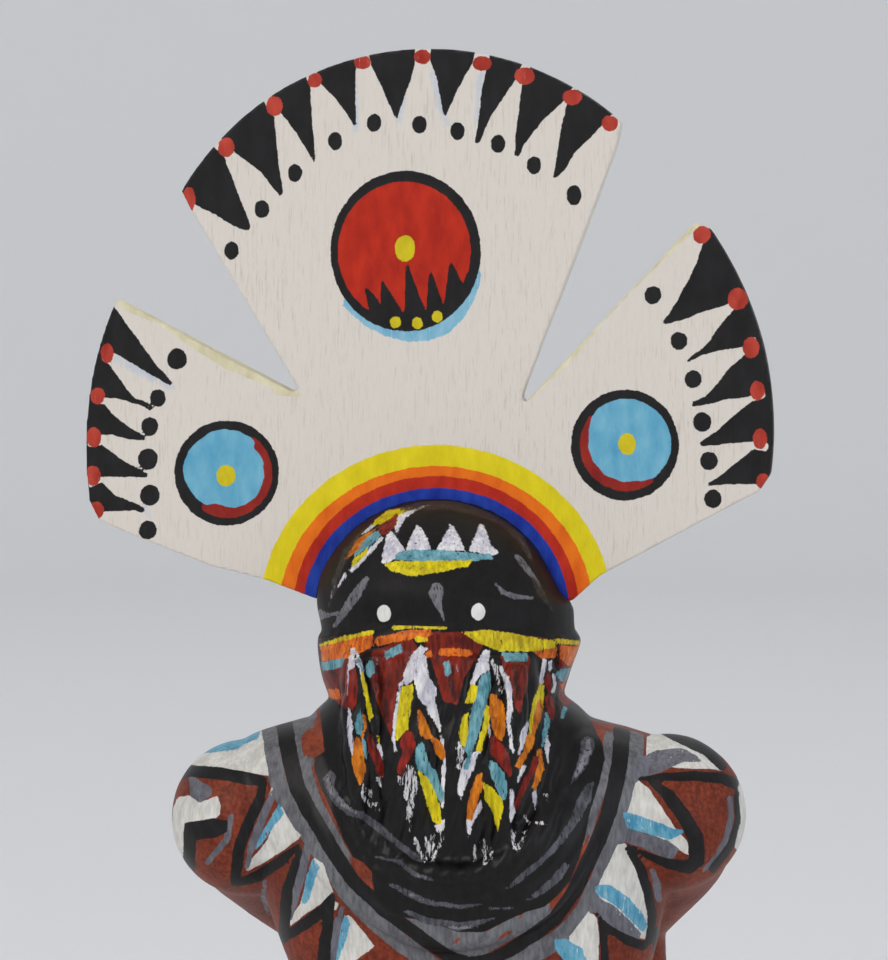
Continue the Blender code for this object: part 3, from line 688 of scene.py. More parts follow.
# Hanging feathers, on the sheet, from the figure's right to its left
FEATHER_MARKS = {
    "white": (
        stroke((1.6, 3.8, 2, 1.4, 1.4), (353, 649), (351.5, 663), (349, 674), (348.5, 694)),
        stroke((1.4, 2.6, 2.6, 1.8), (349, 709), (350, 727), (351, 742), (353, 754)),
        stroke((1.6, 2.4, 2.2, 1.8), (357, 654), (361, 668), (365, 688)),
        stroke((1.4, 2.0, 1.6), (376, 738), (380, 750), (382, 758)),
        patch((422, 645), (428, 649), (416, 666), (413, 680), (406, 686), (401, 685), (405, 671),
              (411, 655)),
        stroke((1.6, 2.2, 1.6), (400, 684), (397.5, 704), (394.3, 726), (393.5, 738), (396, 751)),
        patch((415, 660), (426, 655), (428, 675), (436, 687), (436, 704), (439, 716), (442, 736),
              (437, 726), (429, 715), (425, 706), (418, 698), (415, 683)),
        stroke((1.2, 1.8, 1.6), (441, 735), (444, 756), (443.5, 772), (442.5, 790), (441.7, 807)),
        patch((484, 649), (490, 651), (489, 671), (483, 674), (477, 680), (474, 686), (470, 685),
              (475, 669)),
        patch((482, 748), (477, 758), (471, 775), (465, 787), (461.5, 801), (458, 793), (458.5, 778),
              (464, 762), (472, 753)),
        stroke((1.8, 3.2, 2.8, 2, 1.4), (501, 668), (506, 678), (509, 690), (510, 704), (508.5, 720),
               (510.6, 738), (512.5, 752)),
        stroke((1.2,), (488.4, 722), (490, 738)),
        patch((481, 800), (482, 808), (474, 822), (468.5, 838), (466, 820)),
        patch((543, 658), (547, 660), (545, 674), (542, 685), (539, 683), (541, 668)),
        patch((548, 660), (552, 660), (551, 671), (548.5, 671)),
        stroke((1.3,), (553.5, 675), (555, 686), (553, 691)),
        patch((529, 719), (529, 727), (527, 738), (521, 753), (516, 757), (519, 744), (521, 732)),
        stroke((2.2, 1.2), (524, 767), (517, 782)),
        patch((547, 734), (550, 744), (548, 763), (545, 753), (544, 744)),
        patch((510, 788), (514, 793), (514, 805), (516, 812), (510.5, 823), (509.5, 808)),
        patch((536, 788), (537, 798), (535, 809), (532.5, 802), (533.5, 793)),
        patch((434, 825), (445, 818), (444, 830), (437, 833)),
    ),
    "blue": (
        patch((355, 723), (360.6, 708), (363.5, 726), (361.5, 736), (356, 733)),
        patch((361.5, 737), (366, 741), (368, 753), (366, 760), (362.5, 750)),
        stroke((1.2,), (358, 658), (362, 672)),
        patch((422, 742), (426, 750), (428, 762), (436, 771), (439, 782), (444, 793), (443, 803),
              (437, 800), (432, 787), (428, 778), (418, 770), (414.5, 756), (416.5, 747)),
        patch((481, 675), (490, 671), (490.5, 689), (486, 706), (481, 726), (474, 747), (468, 756),
              (464, 747), (468, 732), (471, 713), (475, 693)),
        stroke((2, 1.6), (471, 752), (466, 768)),
        patch((489, 760), (495, 762), (505, 774), (508, 787), (506, 801), (501, 798), (495, 785),
              (490, 774)),
        patch((546, 711), (551, 721), (547.5, 732), (544.5, 746), (541.5, 748), (542.5, 732), (544, 721)),
    ),
    "yellow": (
        stroke((1.8, 2.4, 2.4, 2), (362, 674), (366, 692), (370, 714), (374, 728), (378, 742)),
        patch((402, 686), (413.5, 684), (412, 704), (407.5, 729), (402, 735), (397, 742), (395, 739),
              (396, 726), (398, 706)),
        patch((418, 770), (428, 778), (436, 793), (440.5, 808), (442, 822), (437, 826), (432, 820),
              (428, 808), (423, 793)),
        patch((471, 684), (478, 686), (477, 694), (474, 703), (465, 703), (467.5, 694)),
        patch((463, 716), (468.5, 712), (468, 732), (465, 746), (461, 746), (459.5, 735), (459, 728)),
        patch((486, 705), (490.5, 707), (490, 720), (486, 735), (481.5, 751), (475, 751), (481, 732)),
        patch((483, 782), (491, 787), (502, 799), (503.5, 808), (500, 822), (498, 832), (495, 821),
              (492, 811), (486, 801), (483.5, 791)),
        patch((540, 683), (544, 686), (543, 708), (540, 720), (534, 735), (529, 739), (529, 726),
              (530.5, 709), (535, 696)),
    ),
    "orange": (
        stroke((1.3,), (364, 716), (365, 726), (362, 737)),
        patch((355, 735), (361, 741), (364.5, 756), (365.5, 772), (363, 781), (359.5, 786), (354, 772),
              (352, 759), (353.5, 745)),
        patch((417, 708), (422, 713), (428.5, 727), (431.5, 735), (428, 740), (421.5, 735), (418, 726)),
        patch((429, 730), (437, 738), (444, 747), (446, 756), (442.5, 762), (435.5, 752), (430.5, 741)),
        patch((490, 694), (497, 693), (503.5, 704), (506, 719), (505, 735), (501.5, 742), (495, 738),
              (492, 726), (489, 712)),
        patch((477, 774), (482, 773), (483, 785), (477, 804), (472.5, 821), (466.5, 819), (467.5, 805),
              (471, 790)),
        patch((540, 698), (543, 705), (541, 719), (535, 734), (530.5, 736), (533, 720), (536, 708)),
        patch((527, 735), (535.5, 731), (534, 744), (528, 755), (520, 768), (515.5, 766), (518, 759),
              (524, 750)),
        patch((536.5, 750), (542, 748), (542.5, 762), (544, 770), (540, 781), (535, 791), (531.5, 787),
              (535, 775), (538, 762)),
    ),
    "red": (
        patch((349, 671), (355, 668), (358.5, 680), (357, 701), (353, 710), (348.5, 708), (347.5, 690)),
        patch((369, 731), (374.5, 744), (381, 756), (384, 767), (383, 777), (379, 777), (375, 765),
              (369, 753), (367, 739)),
        patch((406, 731), (413.5, 733), (415.5, 744), (413, 756), (406.5, 763), (403.5, 775),
              (399.5, 776),
              (396.5, 772), (399, 762), (402.5, 753), (399.5, 741)),
        patch((489, 738), (494, 734), (503, 745), (509.5, 756), (512, 773), (510, 779), (504.5, 770),
              (496.5, 761), (489.5, 753)),
        patch((545.5, 671), (550, 675), (552.5, 686), (549, 693), (545.5, 686), (544, 678)),
        patch((544, 698), (549, 694.5), (554, 701), (555, 712), (552.5, 722), (547, 710)),
        patch((533, 757), (539, 756), (537, 767), (532, 778), (526, 790), (520, 804), (516, 812),
              (514, 805), (518, 793), (524, 778), (530, 768)),
    ),
    "dry": (
        stroke((1.6, 1.2), (379, 777), (381, 785)), stroke((1.2,), (362, 784), (364, 797), (371, 807)),
        stroke((1.2,), (369, 791), (373, 807)), stroke((1.2,), (375, 802), (379, 809)),
        stroke((1.6, 1), (399, 776), (400.5, 785)),
        patch((405, 767), (411, 765), (416, 778), (418.5, 789), (413, 798), (413, 808), (409.5, 831),
              (406, 816), (408, 801), (404.5, 799), (406.5, 787), (404.5, 778)),
        stroke((1.2, 1.8, 1), (415, 838), (419, 850), (422, 858)),
        stroke((1.6, 2.2, 1), (427, 838), (429, 851), (425, 862)),
        stroke((1.6, 1.2), (440, 831), (440, 845), (432, 860)), stroke((1.2,), (432, 836), (433, 846)),
        patch((457, 744), (460.5, 741), (463.5, 753), (460.5, 770), (457, 767)),
        stroke((1.4, 2.2, 1.4), (492, 660), (497, 676), (501, 692)),
        stroke((1.2,), (474, 846), (475.5, 861)), stroke((1.6,), (484, 841), (485, 863)),
        stroke((1.2,), (491, 850), (491.5, 858)),
        patch((510, 833), (516, 823), (516, 836), (514, 840), (519, 848), (525, 830), (524, 839),
              (517, 850), (512, 843)),
        stroke((1.2,), (536, 822), (545, 825)), stroke((1.2,), (545.5, 795), (548, 801)),
        stroke((1,), (523, 815), (529, 823)),
    ),
}

# Kerchief, the highlights painted on its folds, and collar rings, on the sheet
KERCHIEF_EDGE = patch(
    (318, 700), (322, 728), (324.5, 751), (315, 757.5), (314, 766), (320, 786), (330, 807), (336, 822),
    (344, 841), (353, 857), (363, 863), (371, 872), (374, 891), (381, 906), (390, 914), (408, 918),
    (430, 922), (458, 932), (485, 932),
    (504, 922), (525, 912), (544, 907), (558, 895), (570, 881), (580, 855), (585, 838), (589, 817),
    (595, 796),
    (601, 775), (605.5, 759), (601, 741), (593, 726), (584, 700), (445, 600))
# Painted highlights: light grey strokes along the kerchief's folds
FOLD_LIGHTS = (
    patch((323, 778), (330, 770), (336, 776), (334, 786), (340, 797), (351, 809), (363, 812), (381, 824),
          (399, 841), (416, 854), (429, 863), (416, 861), (397, 847), (376, 830), (361, 819), (347, 815),
          (332, 801), (325, 788)),
    stroke((1, 1.8, 2.6, 1.6), (376, 857), (399, 862), (416, 875), (434, 880)),
    stroke((1.4, 3.2, 2.8, 2, 1), (390, 884), (405, 892), (428, 902), (460, 907), (482, 904)),
    stroke((1.8, 3.6, 4.2, 1), (405, 911), (428, 921), (460, 927), (497, 918)),
    patch((586, 736), (593, 738), (594.5, 749), (588, 764), (577, 779), (570, 785), (575, 770),
          (581, 753), (580, 742)),
    patch((586, 785), (593.5, 782), (590.5, 800), (582, 817), (567, 838), (552, 855), (535, 870),
          (518, 884),
          (498, 893), (510, 884), (527, 869), (543, 856), (556, 841), (570, 820), (577, 800)),
    patch((564, 862), (570, 865), (561, 880), (544, 893), (521, 904), (535, 892), (550, 879)),
    stroke((1.6, 1.2), (489, 909), (514, 909)),
)
# Painted sheen: brighter strokes along the crests of the folds
FOLD_SHINE = (
    stroke((1, 3, 2.6, 1), (327, 775), (330, 788), (342, 804), (356, 813)),
    stroke((1, 2, 1), (416, 875), (424, 878), (432, 879)),
    stroke((2, 4, 3, 1), (588, 741), (588, 752), (581, 767), (573, 779)),
    stroke((1, 1.6, 1), (398, 889), (412, 895), (424, 900)),
    stroke((1, 1.8, 1), (440, 925), (460, 928), (480, 926)),
)
RING_OUTER = (
    stroke((8.5, 8.5, 9, 9.5), (268, 716), (272, 753), (277.7, 780), (284.5, 799), (298, 820), (313, 841),
           (324.5, 858.5), (336, 875.5), (346, 891), (361, 908), (380, 925.5), (399, 941), (418, 955),
           (440, 972)),
    stroke((8.5, 8.5, 9, 9.5), (635.5, 716), (635.5, 751), (631, 778.5), (626, 808), (615.5, 841.5),
           (605, 864.5),
           (596.5, 886), (584, 911), (567, 932), (546, 947), (525, 957.5), (500, 968)),
)
RING_BLACK = (
    stroke((8.5, 8.2, 7.4, 6.6, 6.4), (282.5, 712), (288, 747.5), (292, 766.5), (298, 789.5),
           (309, 810.5), (321, 830),
           (332, 849), (344, 868), (355.5, 883.5), (370.5, 897), (386, 912), (407, 927), (428, 942.5),
           (447, 956), (470, 964)),
    stroke((8.5, 8, 7.2, 6.4), (622.5, 712), (621, 753), (616.5, 780.5), (609, 812), (598.5, 839.5),
           (588, 862.5),
           (575, 890), (556, 917.5), (535, 934), (512, 949), (493, 959.5), (470, 964)),
)
RING_INNER = (
    patch((289, 708), (316, 708), (319, 735), (307, 731), (301, 738), (303, 755), (314, 757), (314, 773),
          (319, 793),
          (325, 807), (335, 824), (343, 841), (351, 855), (358, 870), (343, 866), (331, 848), (321, 830),
          (311, 810),
          (304, 792), (299, 771), (295, 750), (292, 729)),
    stroke((5.4, 6, 5.4, 4), (609, 732), (609.5, 760), (601, 787), (592.5, 816), (585, 842)),
    patch((404, 918), (430, 920), (457, 932), (485, 932), (504, 922), (525, 911), (550, 903), (552, 913),
          (530, 929), (504, 944), (481, 956), (452, 958), (430, 947), (413, 934)),
)
RING_WARM = (
    patch((301, 738), (307, 730), (313, 728), (316, 718), (320, 716), (322, 728), (325, 752), (315, 758),
          (304, 756)),
    stroke((2, 3.2, 3.2, 2), (313, 766), (320, 786), (329, 803), (336, 821)),
    patch((349, 854), (359, 860), (372, 884), (374, 897), (364, 890), (355, 878)),
    patch((387, 911), (398, 915), (410, 928), (404, 929)),
    patch((581, 704), (616, 704), (618, 732), (606, 731), (601, 744), (590, 722)),
    stroke((1.6, 2), (588, 836), (583, 852)), patch((568, 885), (567, 899), (555, 913), (548, 905)),
    stroke((1,), (461, 938), (452, 944)), stroke((1.4,), (500, 938), (512, 930)),
    stroke((1.2,), (523, 914), (516, 921)),
)

# Sawtooth border and shoulder marks, on the sheet
TEETH_WHITE = (
    patch((184, 768), (212, 741), (236, 733), (261, 728), (265, 753), (269, 776), (252, 773), (223, 769)),
    patch((280, 803), (286, 814), (294, 829), (303, 836), (285, 849), (267, 861), (245, 873), (252, 858),
          (267, 841)),
    patch((314, 857), (323, 864), (334, 894), (323, 903), (307, 913), (287, 929), (290, 917), (300, 904)),
    patch((346, 913), (352, 918), (375, 946), (352, 963), (332, 966), (340, 944)),
    patch((647, 727), (672, 736), (693, 746), (712, 758), (724, 772), (712, 769), (678, 768), (646, 762)),
    patch((637, 779), (649, 789), (662, 808), (674, 826), (687, 841), (691, 856), (680, 851), (668, 843),
          (625, 820)),
    patch((617, 845), (626, 843), (630, 856), (638, 875), (647, 900), (650, 921), (645, 940), (637, 937),
          (595, 892)),
    patch((589, 911), (597, 917), (599, 934), (599, 966), (580, 966), (568, 938)),
    stroke((1.6,), (272.5, 789), (267, 805)), patch((333, 898), (339, 903), (334, 919)),
    patch((178, 797), (189, 795), (198, 802), (206, 800), (217, 796), (221, 805), (220, 815), (215, 819),
          (185, 823), (184, 833), (185, 863), (179, 860), (171, 841), (173, 808)),
    stroke((2, 4.2, 4.6, 3.6), (738, 766), (742.5, 790), (743.5, 822), (738, 846)),
    patch((695, 735), (704, 733), (713, 741), (710, 743)), spot(280.5, 952, 4, 4),
    stroke((3.5,), (665, 938), (666, 962)),
)
TEETH_BLUE = (
    patch((200, 754), (217, 737), (240, 732), (261, 728), (258, 739), (246, 743), (238, 749), (222, 751)),
    patch((279, 803), (284.5, 814), (275, 824), (264, 841), (253, 854), (257, 841), (267, 824)),
    patch((313, 857), (319, 868), (313, 885), (309, 901), (301, 907), (305, 881), (309, 868)),
    patch((346, 913), (350, 923), (346, 941), (338, 960), (333, 960), (338, 937), (341, 923)),
    patch((622, 811), (638, 815), (657, 822), (674, 829), (688, 829), (679, 836), (668, 840), (647, 834),
          (627, 828)),
    patch((595, 884), (611, 885), (626, 896), (641, 911), (648, 926), (643, 933), (630, 920), (615, 905),
          (597, 895)),
    patch((553, 939), (565, 939), (582, 948), (588, 964), (566, 964), (556, 950)),
    patch((215, 900), (225, 901), (235, 908), (225, 911)),
)
TEETH_GREY = (
    stroke((3, 4.4, 4, 2), (274, 792), (262.5, 818), (252, 845), (247, 867)),
    stroke((4, 6, 6, 5, 2), (308, 846), (302, 866), (297, 884), (292, 905), (290, 919)),
    patch((628, 776), (640, 758), (657, 750), (683, 748), (696, 755), (703, 762), (683, 762), (662, 771),
          (640, 780)),
    patch((624, 827), (647, 834), (667, 840), (680, 849), (673, 860), (657, 855), (636, 845), (620, 842)),
    patch((594, 896), (613, 905), (630, 920), (642, 935), (639, 940), (625, 935), (609, 925), (592, 911)),
    stroke((2, 5, 6, 6), (342, 907), (336, 927), (332, 945), (330, 962)),
    patch((188, 771), (200, 781), (212, 787), (212, 795), (200, 803), (190, 795)),
    stroke((2.4, 3.4, 2.6), (231, 816), (227, 839), (208, 862)),
    stroke((2, 2.4, 1.6), (265, 881), (263, 897), (275, 933)),
    stroke((2.4, 3, 3, 1.4), (730, 798), (731.5, 817), (727, 838), (716, 857), (703, 871)),
    stroke((3, 4, 3), (653, 871), (657, 886), (659, 900)), stroke((1.6, 2), (232, 734), (268, 721)),
)
TEETH_BLACK = (
    stroke((3, 6, 6.4, 6.6, 5), (182, 776), (191, 771), (223, 774), (245, 778), (262, 781)),
    stroke((4, 6, 6, 5), (263, 783), (259.5, 800), (249, 822), (240, 845), (237, 866), (235.5, 882)),
    stroke((2.5, 5.4, 6, 4), (298, 846), (281, 861), (258, 876), (238, 883)),
    stroke((2.5, 5, 6, 5.4), (300, 852), (293.5, 870), (287, 890), (285.5, 912), (283.5, 938)),
    stroke((2.5, 6, 6, 4.4), (333, 895), (322, 911), (305, 924), (287, 936)),
    stroke((2.5, 5, 6, 7), (333, 899), (329, 920), (325, 940), (324, 964)),
    stroke((1.6, 3.4, 5, 6, 5), (636, 719), (660, 730), (686, 741), (708, 751), (722, 766)),
    stroke((2.2, 4, 5, 5.5, 6), (640, 779), (665, 777), (695, 776), (722, 778), (733, 783)),
    stroke((2.5, 6.4, 7.4, 8, 8), (650, 781), (668, 795), (683, 815), (696, 838), (697, 860)),
    stroke((2, 3.6, 5, 7), (628, 846), (648, 856), (668, 864), (690, 867)),
    stroke((2.5, 5, 5, 4.4, 4), (627, 848), (640, 867), (648, 892), (652.5, 915), (649, 941)),
    stroke((1.6, 3.6, 5, 4.6), (596, 915), (611, 930), (627, 940), (643, 946)),
    stroke((2, 3.8, 4), (597, 913), (603, 928), (605, 966)),
    patch((184, 823), (215, 818), (228, 820), (227, 832), (215, 838), (196, 840), (195, 875), (187, 870),
          (183, 858)),
    stroke((2.6, 3, 4, 4), (736.5, 793), (737.5, 820), (731, 845), (713, 869)),
    stroke((4,), (658, 930), (656, 966)),
)


def off_limb(axis_points, radii, p):
    """How far points are outside a limb with the given centre line and radii."""
    best = np.full(len(p), 1e9)
    for a, b, ra, rb in zip(axis_points, axis_points[1:], radii, radii[1:]):
        way = b - a
        along = np.clip((p - a) @ way / (way @ way), 0, 1)
        gap = np.linalg.norm(p - a - along[:, None] * way, axis=1)
        best = np.minimum(best, gap - (ra + (rb - ra) * along))
    return best


def off_torso(p):
    """How far points are outside the torso's own oval, roughly, in millimetres."""
    table = np.array(TORSO)
    x, y, a, b = (np.interp(p[:, 2], table[:, 0], table[:, k]) for k in (1, 2, 3, 4))
    k = (abs((p[:, 0] - x) / a) ** 2.3 + abs((p[:, 1] - y) / b) ** 2.3) ** (1 / 2.3)
    return (k - 1) * np.minimum(a, b)


def sawtooth(along, out, period, height):
    """Distance to a row of teeth that stand on out = 0 and point towards more `out`."""
    share = abs(along / period - np.floor(along / period) - 0.5) * 2
    slope = math.hypot(height, period / 2) / (period / 2)
    return np.maximum((out - height * (1 - share)) / slope, -out)


def only(where, values):
    """The distances on the chosen points, and far away elsewhere."""
    return np.where(where, values, FAR)


class FigurePoints:
    """Points of the figure above the soles, and what the coats of paint ask about them."""

    def __init__(self, p):
        self.px, self.py = sheet_place(p)
        self.x, self.y, self.z = p.T
        self.turn = np.arctan2(self.y, self.x)
        side = np.where(abs(self.x - SHOULDER_MIDDLE) > 24, 4.5, 1.5)
        self.facing = self.y < side
        self.behind = np.clip((self.y - side + 3) / 3, 0, 1)
        arms = np.full(len(p), 1e9)
        for way in (-1, 1):
            rows = on_side(np.vstack([between(UPPER_ARM, 3), between(FOREARM, 3), FIST]), way)
            arms = np.minimum(arms, off_limb(rows[:, :3], rows[:, 3], p))
        self.limb = (arms < 0.8) & (off_torso(p) > 0.6) & (self.z < 96)
        self.chest = (self.z > 67.5) & ~self.limb
        self.face = (self.y < -1.0) & (self.z > 95)

    def near(self, group):
        return nearest(group, self.px, self.py)

    def marks(self, group, where):
        return only(where, self.near(group))

    def stripe(self, level, half):
        """A level stripe right round the figure."""
        return abs(self.z - level) - half

    def dots(self, radius, spacing, level):
        """Distance to the nearest point of a row laid round the figure at a level."""
        along = self.turn * radius
        return np.hypot(along - np.round(along / spacing) * spacing, self.z - level)

    def round_to(self, front, back):
        """The front's distances, passing into the back's at the sides."""
        return front * (1 - self.behind) + back * self.behind


def lower_coats(at):
    """Buckskin kilt with a border, pale boots, bracers, and a belt with painted discs."""
    z, body = at.z, ~at.limb
    kilt = (z > 26.5) & (z < 64) & body & (np.hypot(at.x / 17.5, at.y / 12.0) > 1)
    belt, boot, forearm = (z > 61) & (z < 68) & body, z < 26, at.limb & (z < 84)
    border = sawtooth(at.turn * HIP_RADIUS, z - BORDER_LEVEL,
                      2 * math.pi * HIP_RADIUS / KILT_PLEATS, BORDER_HEIGHT)
    disc = at.dots(BELT_RADIUS, DISC_SPACING, BELT_LEVEL)
    return {
        "buckskin": np.minimum(only(kilt, np.maximum(27.5 - z, z - 62.8)), only(z < 27, z - 24.6)),
        "black": np.minimum.reduce([
            only(z < 2.0, z - 1.3), only((z > 60) & (z < 69) & body, at.stripe(BELT_LEVEL, 2.6)),
            only(forearm, at.stripe(76.0, 4.2))]),
        "teeth_white": np.minimum.reduce([
            only(kilt, border), only(boot, at.stripe(22.9, 1.5)), only(forearm, at.stripe(81.2, 0.9))]),
        "teeth_blue": only(kilt, border + 1.35),
        "teeth_black": np.minimum.reduce([
            only(kilt, abs(border - 0.5) - 0.45), only(kilt, at.stripe(34.6, 0.5)),
            only(kilt, at.stripe(59.4, 0.5)), only(boot, at.stripe(20.6, 0.5)),
            only(boot, at.stripe(8.0, 0.35))]),
        "blue": only(belt, disc - 1.9),
        "yellow": only(belt, disc - 0.6),
        "red": np.minimum(only(kilt, at.stripe(57.6, 0.7)), only(boot, at.stripe(19.2, 0.6))),
    }


def chest_coats(at):
    """Kerchief with highlights painted on its folds, collar rings and sawtooth border; behind, an oval swag
    and a plain row of teeth.
    """
    dx, dz = at.x - (HEAD_X + 1.0), np.minimum(at.z - FOLD_SIDE_LEVEL, 0)
    k = np.sqrt((dx / SWAG_HALF_WIDTH) ** 2 + (dz / SWAG_DROP) ** 2) + 1e-6
    swag = np.hypot(dx, dz) * (1 - 1 / k)
    back_teeth = sawtooth(np.arctan2(dz, dx) * SWAG_REACH, swag - 9.3, BACK_TOOTH_LENGTH,
                          BACK_TOOTH_HEIGHT)
    border, folds = at.facing & (at.z > 67), (at.y < -3) & (at.z > 84)
    back = at.chest & (at.y > 1) & (at.z > 84)
    return {
        "ring_grey": only(at.chest, np.minimum(
            at.round_to(at.marks(RING_OUTER, at.facing), abs(swag - 8.2) - 1.1),
            at.round_to(at.near(RING_INNER), abs(swag - 2.0) - 0.7))),
        "ring_warm": at.marks(RING_WARM, at.chest & at.facing),
        "teeth_white": at.round_to(at.marks(TEETH_WHITE, border),
                                   only(at.chest & (at.y > -1) & (at.z > 84), back_teeth)),
        "teeth_blue": np.minimum(at.marks(TEETH_BLUE, border), only(back, back_teeth + 1.5)),
        "teeth_grey": at.marks(TEETH_GREY, border),
        "teeth_black": np.minimum.reduce([
            at.marks(TEETH_BLACK, border), only(back, abs(back_teeth - 0.6) - 0.55),
            only(at.chest, at.round_to(at.near(RING_BLACK), abs(swag - 5.0) - 1.2))]),
        "kerchief_black": only(at.z > 84, at.round_to(at.near((KERCHIEF_EDGE,)), swag - 1.0)),
        # highlights and sheen painted on the kerchief's folds
        "fold_highlight": at.marks(FOLD_LIGHTS, folds),
        "fold_shine": at.marks(FOLD_SHINE, folds),
    }


def band_coats(at):
    """The band's strokes in front, with shade painted into its grooves, and a zigzag with dots behind."""
    y, z = at.y, at.z
    whole, behind = (z > 96) & (z < 128), (y > -2) & (z > 117) & (z < 125.6)
    fade = np.clip((y + 4) / 3, 0, 1)
    wave = abs((at.turn * HEAD_RADIUS / ZIGZAG_LENGTH) % 1 - 0.5) * 4 - 1
    zigzag = abs(z - ZIGZAG_LEVEL - 2.0 * wave) - 0.65
    dots = at.dots(HEAD_RADIUS, ZIGZAG_LENGTH, 119.0) - 0.6
    return {
        "band_black": at.marks(BAND_GROUND, whole & at.face),
        "band_red": only(whole, at.near(BAND_RED) * (1 - fade) + np.maximum(117.2 - z, z - 125.4) * fade),
        # shade painted into the band's grooves and crack
        "band_groove_shade": at.marks(BAND_GROOVE_SHADE, at.face),
        "band_orange": np.minimum(at.marks(BAND_ORANGE, at.face),
                                  only(behind, np.minimum(zigzag, at.stripe(124.4, 0.5)))),
        "band_yellow": at.marks(BAND_YELLOW, at.face & (z < 128)),
        "blue": np.minimum(at.marks(BAND_BLUE, at.face & (z < 126)),
                           only((y > 0) & (z > 117) & (z < 125), dots)),
    }


def feather_coats(at):
    """The strokes of the hanging feathers, and the dry ones over their tips."""
    coats = {name: at.marks(FEATHER_MARKS[name], at.face & (at.z < 126))
             for name in ("white", "blue", "yellow", "orange", "red")}
    coats["dry_white"] = at.marks(FEATHER_MARKS["dry"], (at.y < -3) & (at.z > 92))
    return coats


def hood_coats(at):
    """The black hood with its row of points, fan of strokes, eyes, and grey strokes painted as highlights.
    """
    hood = at.face & (at.z > 124)
    groups = {"white": CROWN + FOREHEAD["white"], "blue": CROWN_BLUE + FOREHEAD["blue"],
              "yellow": CROWN_YELLOW + FOREHEAD["yellow"], "orange": FOREHEAD["orange"],
              # grey strokes painted as highlights on the hood
              "red": FOREHEAD["red"], "eye_white": EYES, "hood_highlight": HOOD_HIGHLIGHTS}
    coats = {name: at.marks(group, hood) for name, group in groups.items()}
    coats["black"] = only(at.z > 117, 125.3 + band_rise(at.x, at.y) - at.z)
    coats["hood_ridge"] = at.marks(HOOD_RIDGE, hood & (at.y < -0.5))
    return coats


def paint_layers(p):
    """The distance of every point of the figure to each coat of paint, in millimetres."""
    at = FigurePoints(p)
    layers = {}
    for coats in (lower_coats(at), chest_coats(at), band_coats(at), feather_coats(at), hood_coats(at)):
        for name, values in coats.items():
            layers[name] = np.minimum(layers.get(name, FAR), np.clip(values, -FAR, FAR))
    return layers


# Headdress board marks, on the sheet

# Each black wedge of the rim: from one red dot, down to its point, and up to the next dot
TOP_WEDGES = (
    ((194.7, 204), (215, 215), (234, 226), (248, 231.6), (251, 227), (242, 203), (234, 182),
     (224.6, 157)),
    ((235, 153), (259, 170.5), (271, 185), (280.6, 197), (283.3, 192.5), (279, 166), (276, 140),
     (274.5, 118)),
    ((281, 113), (297, 134), (313.5, 162), (315.5, 160), (313.5, 137), (311.5, 112), (310.5, 88)),
    ((321, 84), (334, 97), (346, 112), (355, 128), (356.5, 125), (355.5, 99), (356, 68)),
    ((371, 65), (382.5, 88.5), (395.6, 119.5), (397.2, 118.5), (404.5, 96), (410.5, 81), (414.7, 65)),
    ((430, 59), (436.7, 78), (441, 101.6), (444, 117), (445.8, 117), (455.7, 93), (466, 74),
     (472.5, 63.5)),
    ((486, 69), (482, 90), (478.6, 119), (474.8, 143), (479, 143.3), (491, 116), (502.7, 98.7),
     (515, 81)),
    ((522.6, 84), (519, 107.5), (516, 131), (514.6, 156), (518.8, 156.7), (524.7, 144), (543.7, 119),
     (563.7, 101.6)),
    ((566.6, 104.5), (561, 128), (555.5, 163), (553, 178), (557, 177.3), (565.7, 169), (574.5, 153),
     (590.7, 137),
     (604, 123.6)),
)
LEFT_WEDGES = (
    ((117, 310.3), (129, 327), (144.6, 348.5), (155, 364), (173.2, 383), (170.6, 386.6), (152, 375.4),
     (131.6, 363),
     (113.6, 353)),
    ((109, 364), (121, 381), (135, 398.5), (144.5, 401.6), (153.4, 407.6), (151, 411), (140, 405),
     (128, 402),
     (117, 398.5), (105, 398)),
    ((104, 404.5), (118, 419), (131, 428.6), (146, 436.6), (144.8, 441), (128, 439), (111, 434.6),
     (99.8, 434.6)),
    ((102.4, 445), (118, 457), (134, 466.4), (147.6, 474), (147.3, 477.4), (123, 476.8), (99.8, 476.8)),
    ((101.5, 482), (116, 495.7), (136, 503.4), (146, 509.2), (142.3, 513), (135, 510.5), (114.4, 511.2),
     (103, 511.2)),
)
RIGHT_WEDGES = (
    ((702.6, 244.4), (697.8, 260), (686.3, 283.7), (676.7, 301.8), (662.6, 322.6), (665, 324.4),
     (682.5, 320),
     (699.7, 313.3), (728.4, 303.8)),
    ((731.3, 312.4), (717, 328.6), (711, 340), (697.8, 351.6), (686.4, 361), (688.2, 362), (701.6, 355.4),
     (718.8, 350.6), (741.8, 347.4)),
    ((743.7, 355.4), (726.5, 370.7), (718.8, 382), (705.4, 396.6), (691.6, 402.3), (692, 406.3),
     (705.4, 405.2),
     (726.5, 399.4), (749.4, 396.6)),
    ((751.3, 401.3), (732, 416.7), (717, 431), (699, 442.8), (700.6, 446.5), (722.6, 444.4),
     (753.3, 441.2)),
    ((753.3, 449.2), (732, 465.5), (722.6, 474), (706.8, 483.8), (708.3, 486), (724.6, 484.6),
     (756.7, 483.6)),
)
RED_DOTS = (
    (188.8, 199.9, 6.4, 13), (226.3, 147.4, 8.5, 10), (274.5, 105.7, 8.5, 10), (314.9, 80.2, 7.2, 7.4),
    (362.5, 62.6, 8.2, 7), (422.3, 56.7, 8.2, 7.6), (482, 63.5, 9.8, 7.4), (524.7, 75.8, 10.3, 8.5),
    (572.2, 97.2, 9.8, 7.8), (609.7, 123.3, 8.2, 8), (107.2, 353.4, 6.6, 9.9), (97.6, 396, 7.2, 8.7),
    (93.8, 437.3, 7.3, 10.2), (93.1, 475.8, 7.4, 10.5), (96, 510.3, 7.5, 9), (702, 234.5, 8.8, 9.2),
    (737.6, 299, 10, 11.2), (751, 347.4, 8.4, 10.8), (757.4, 390.6, 7.4, 10), (760, 439, 6.9, 10.4),
    (763, 481, 6.4, 8),
)
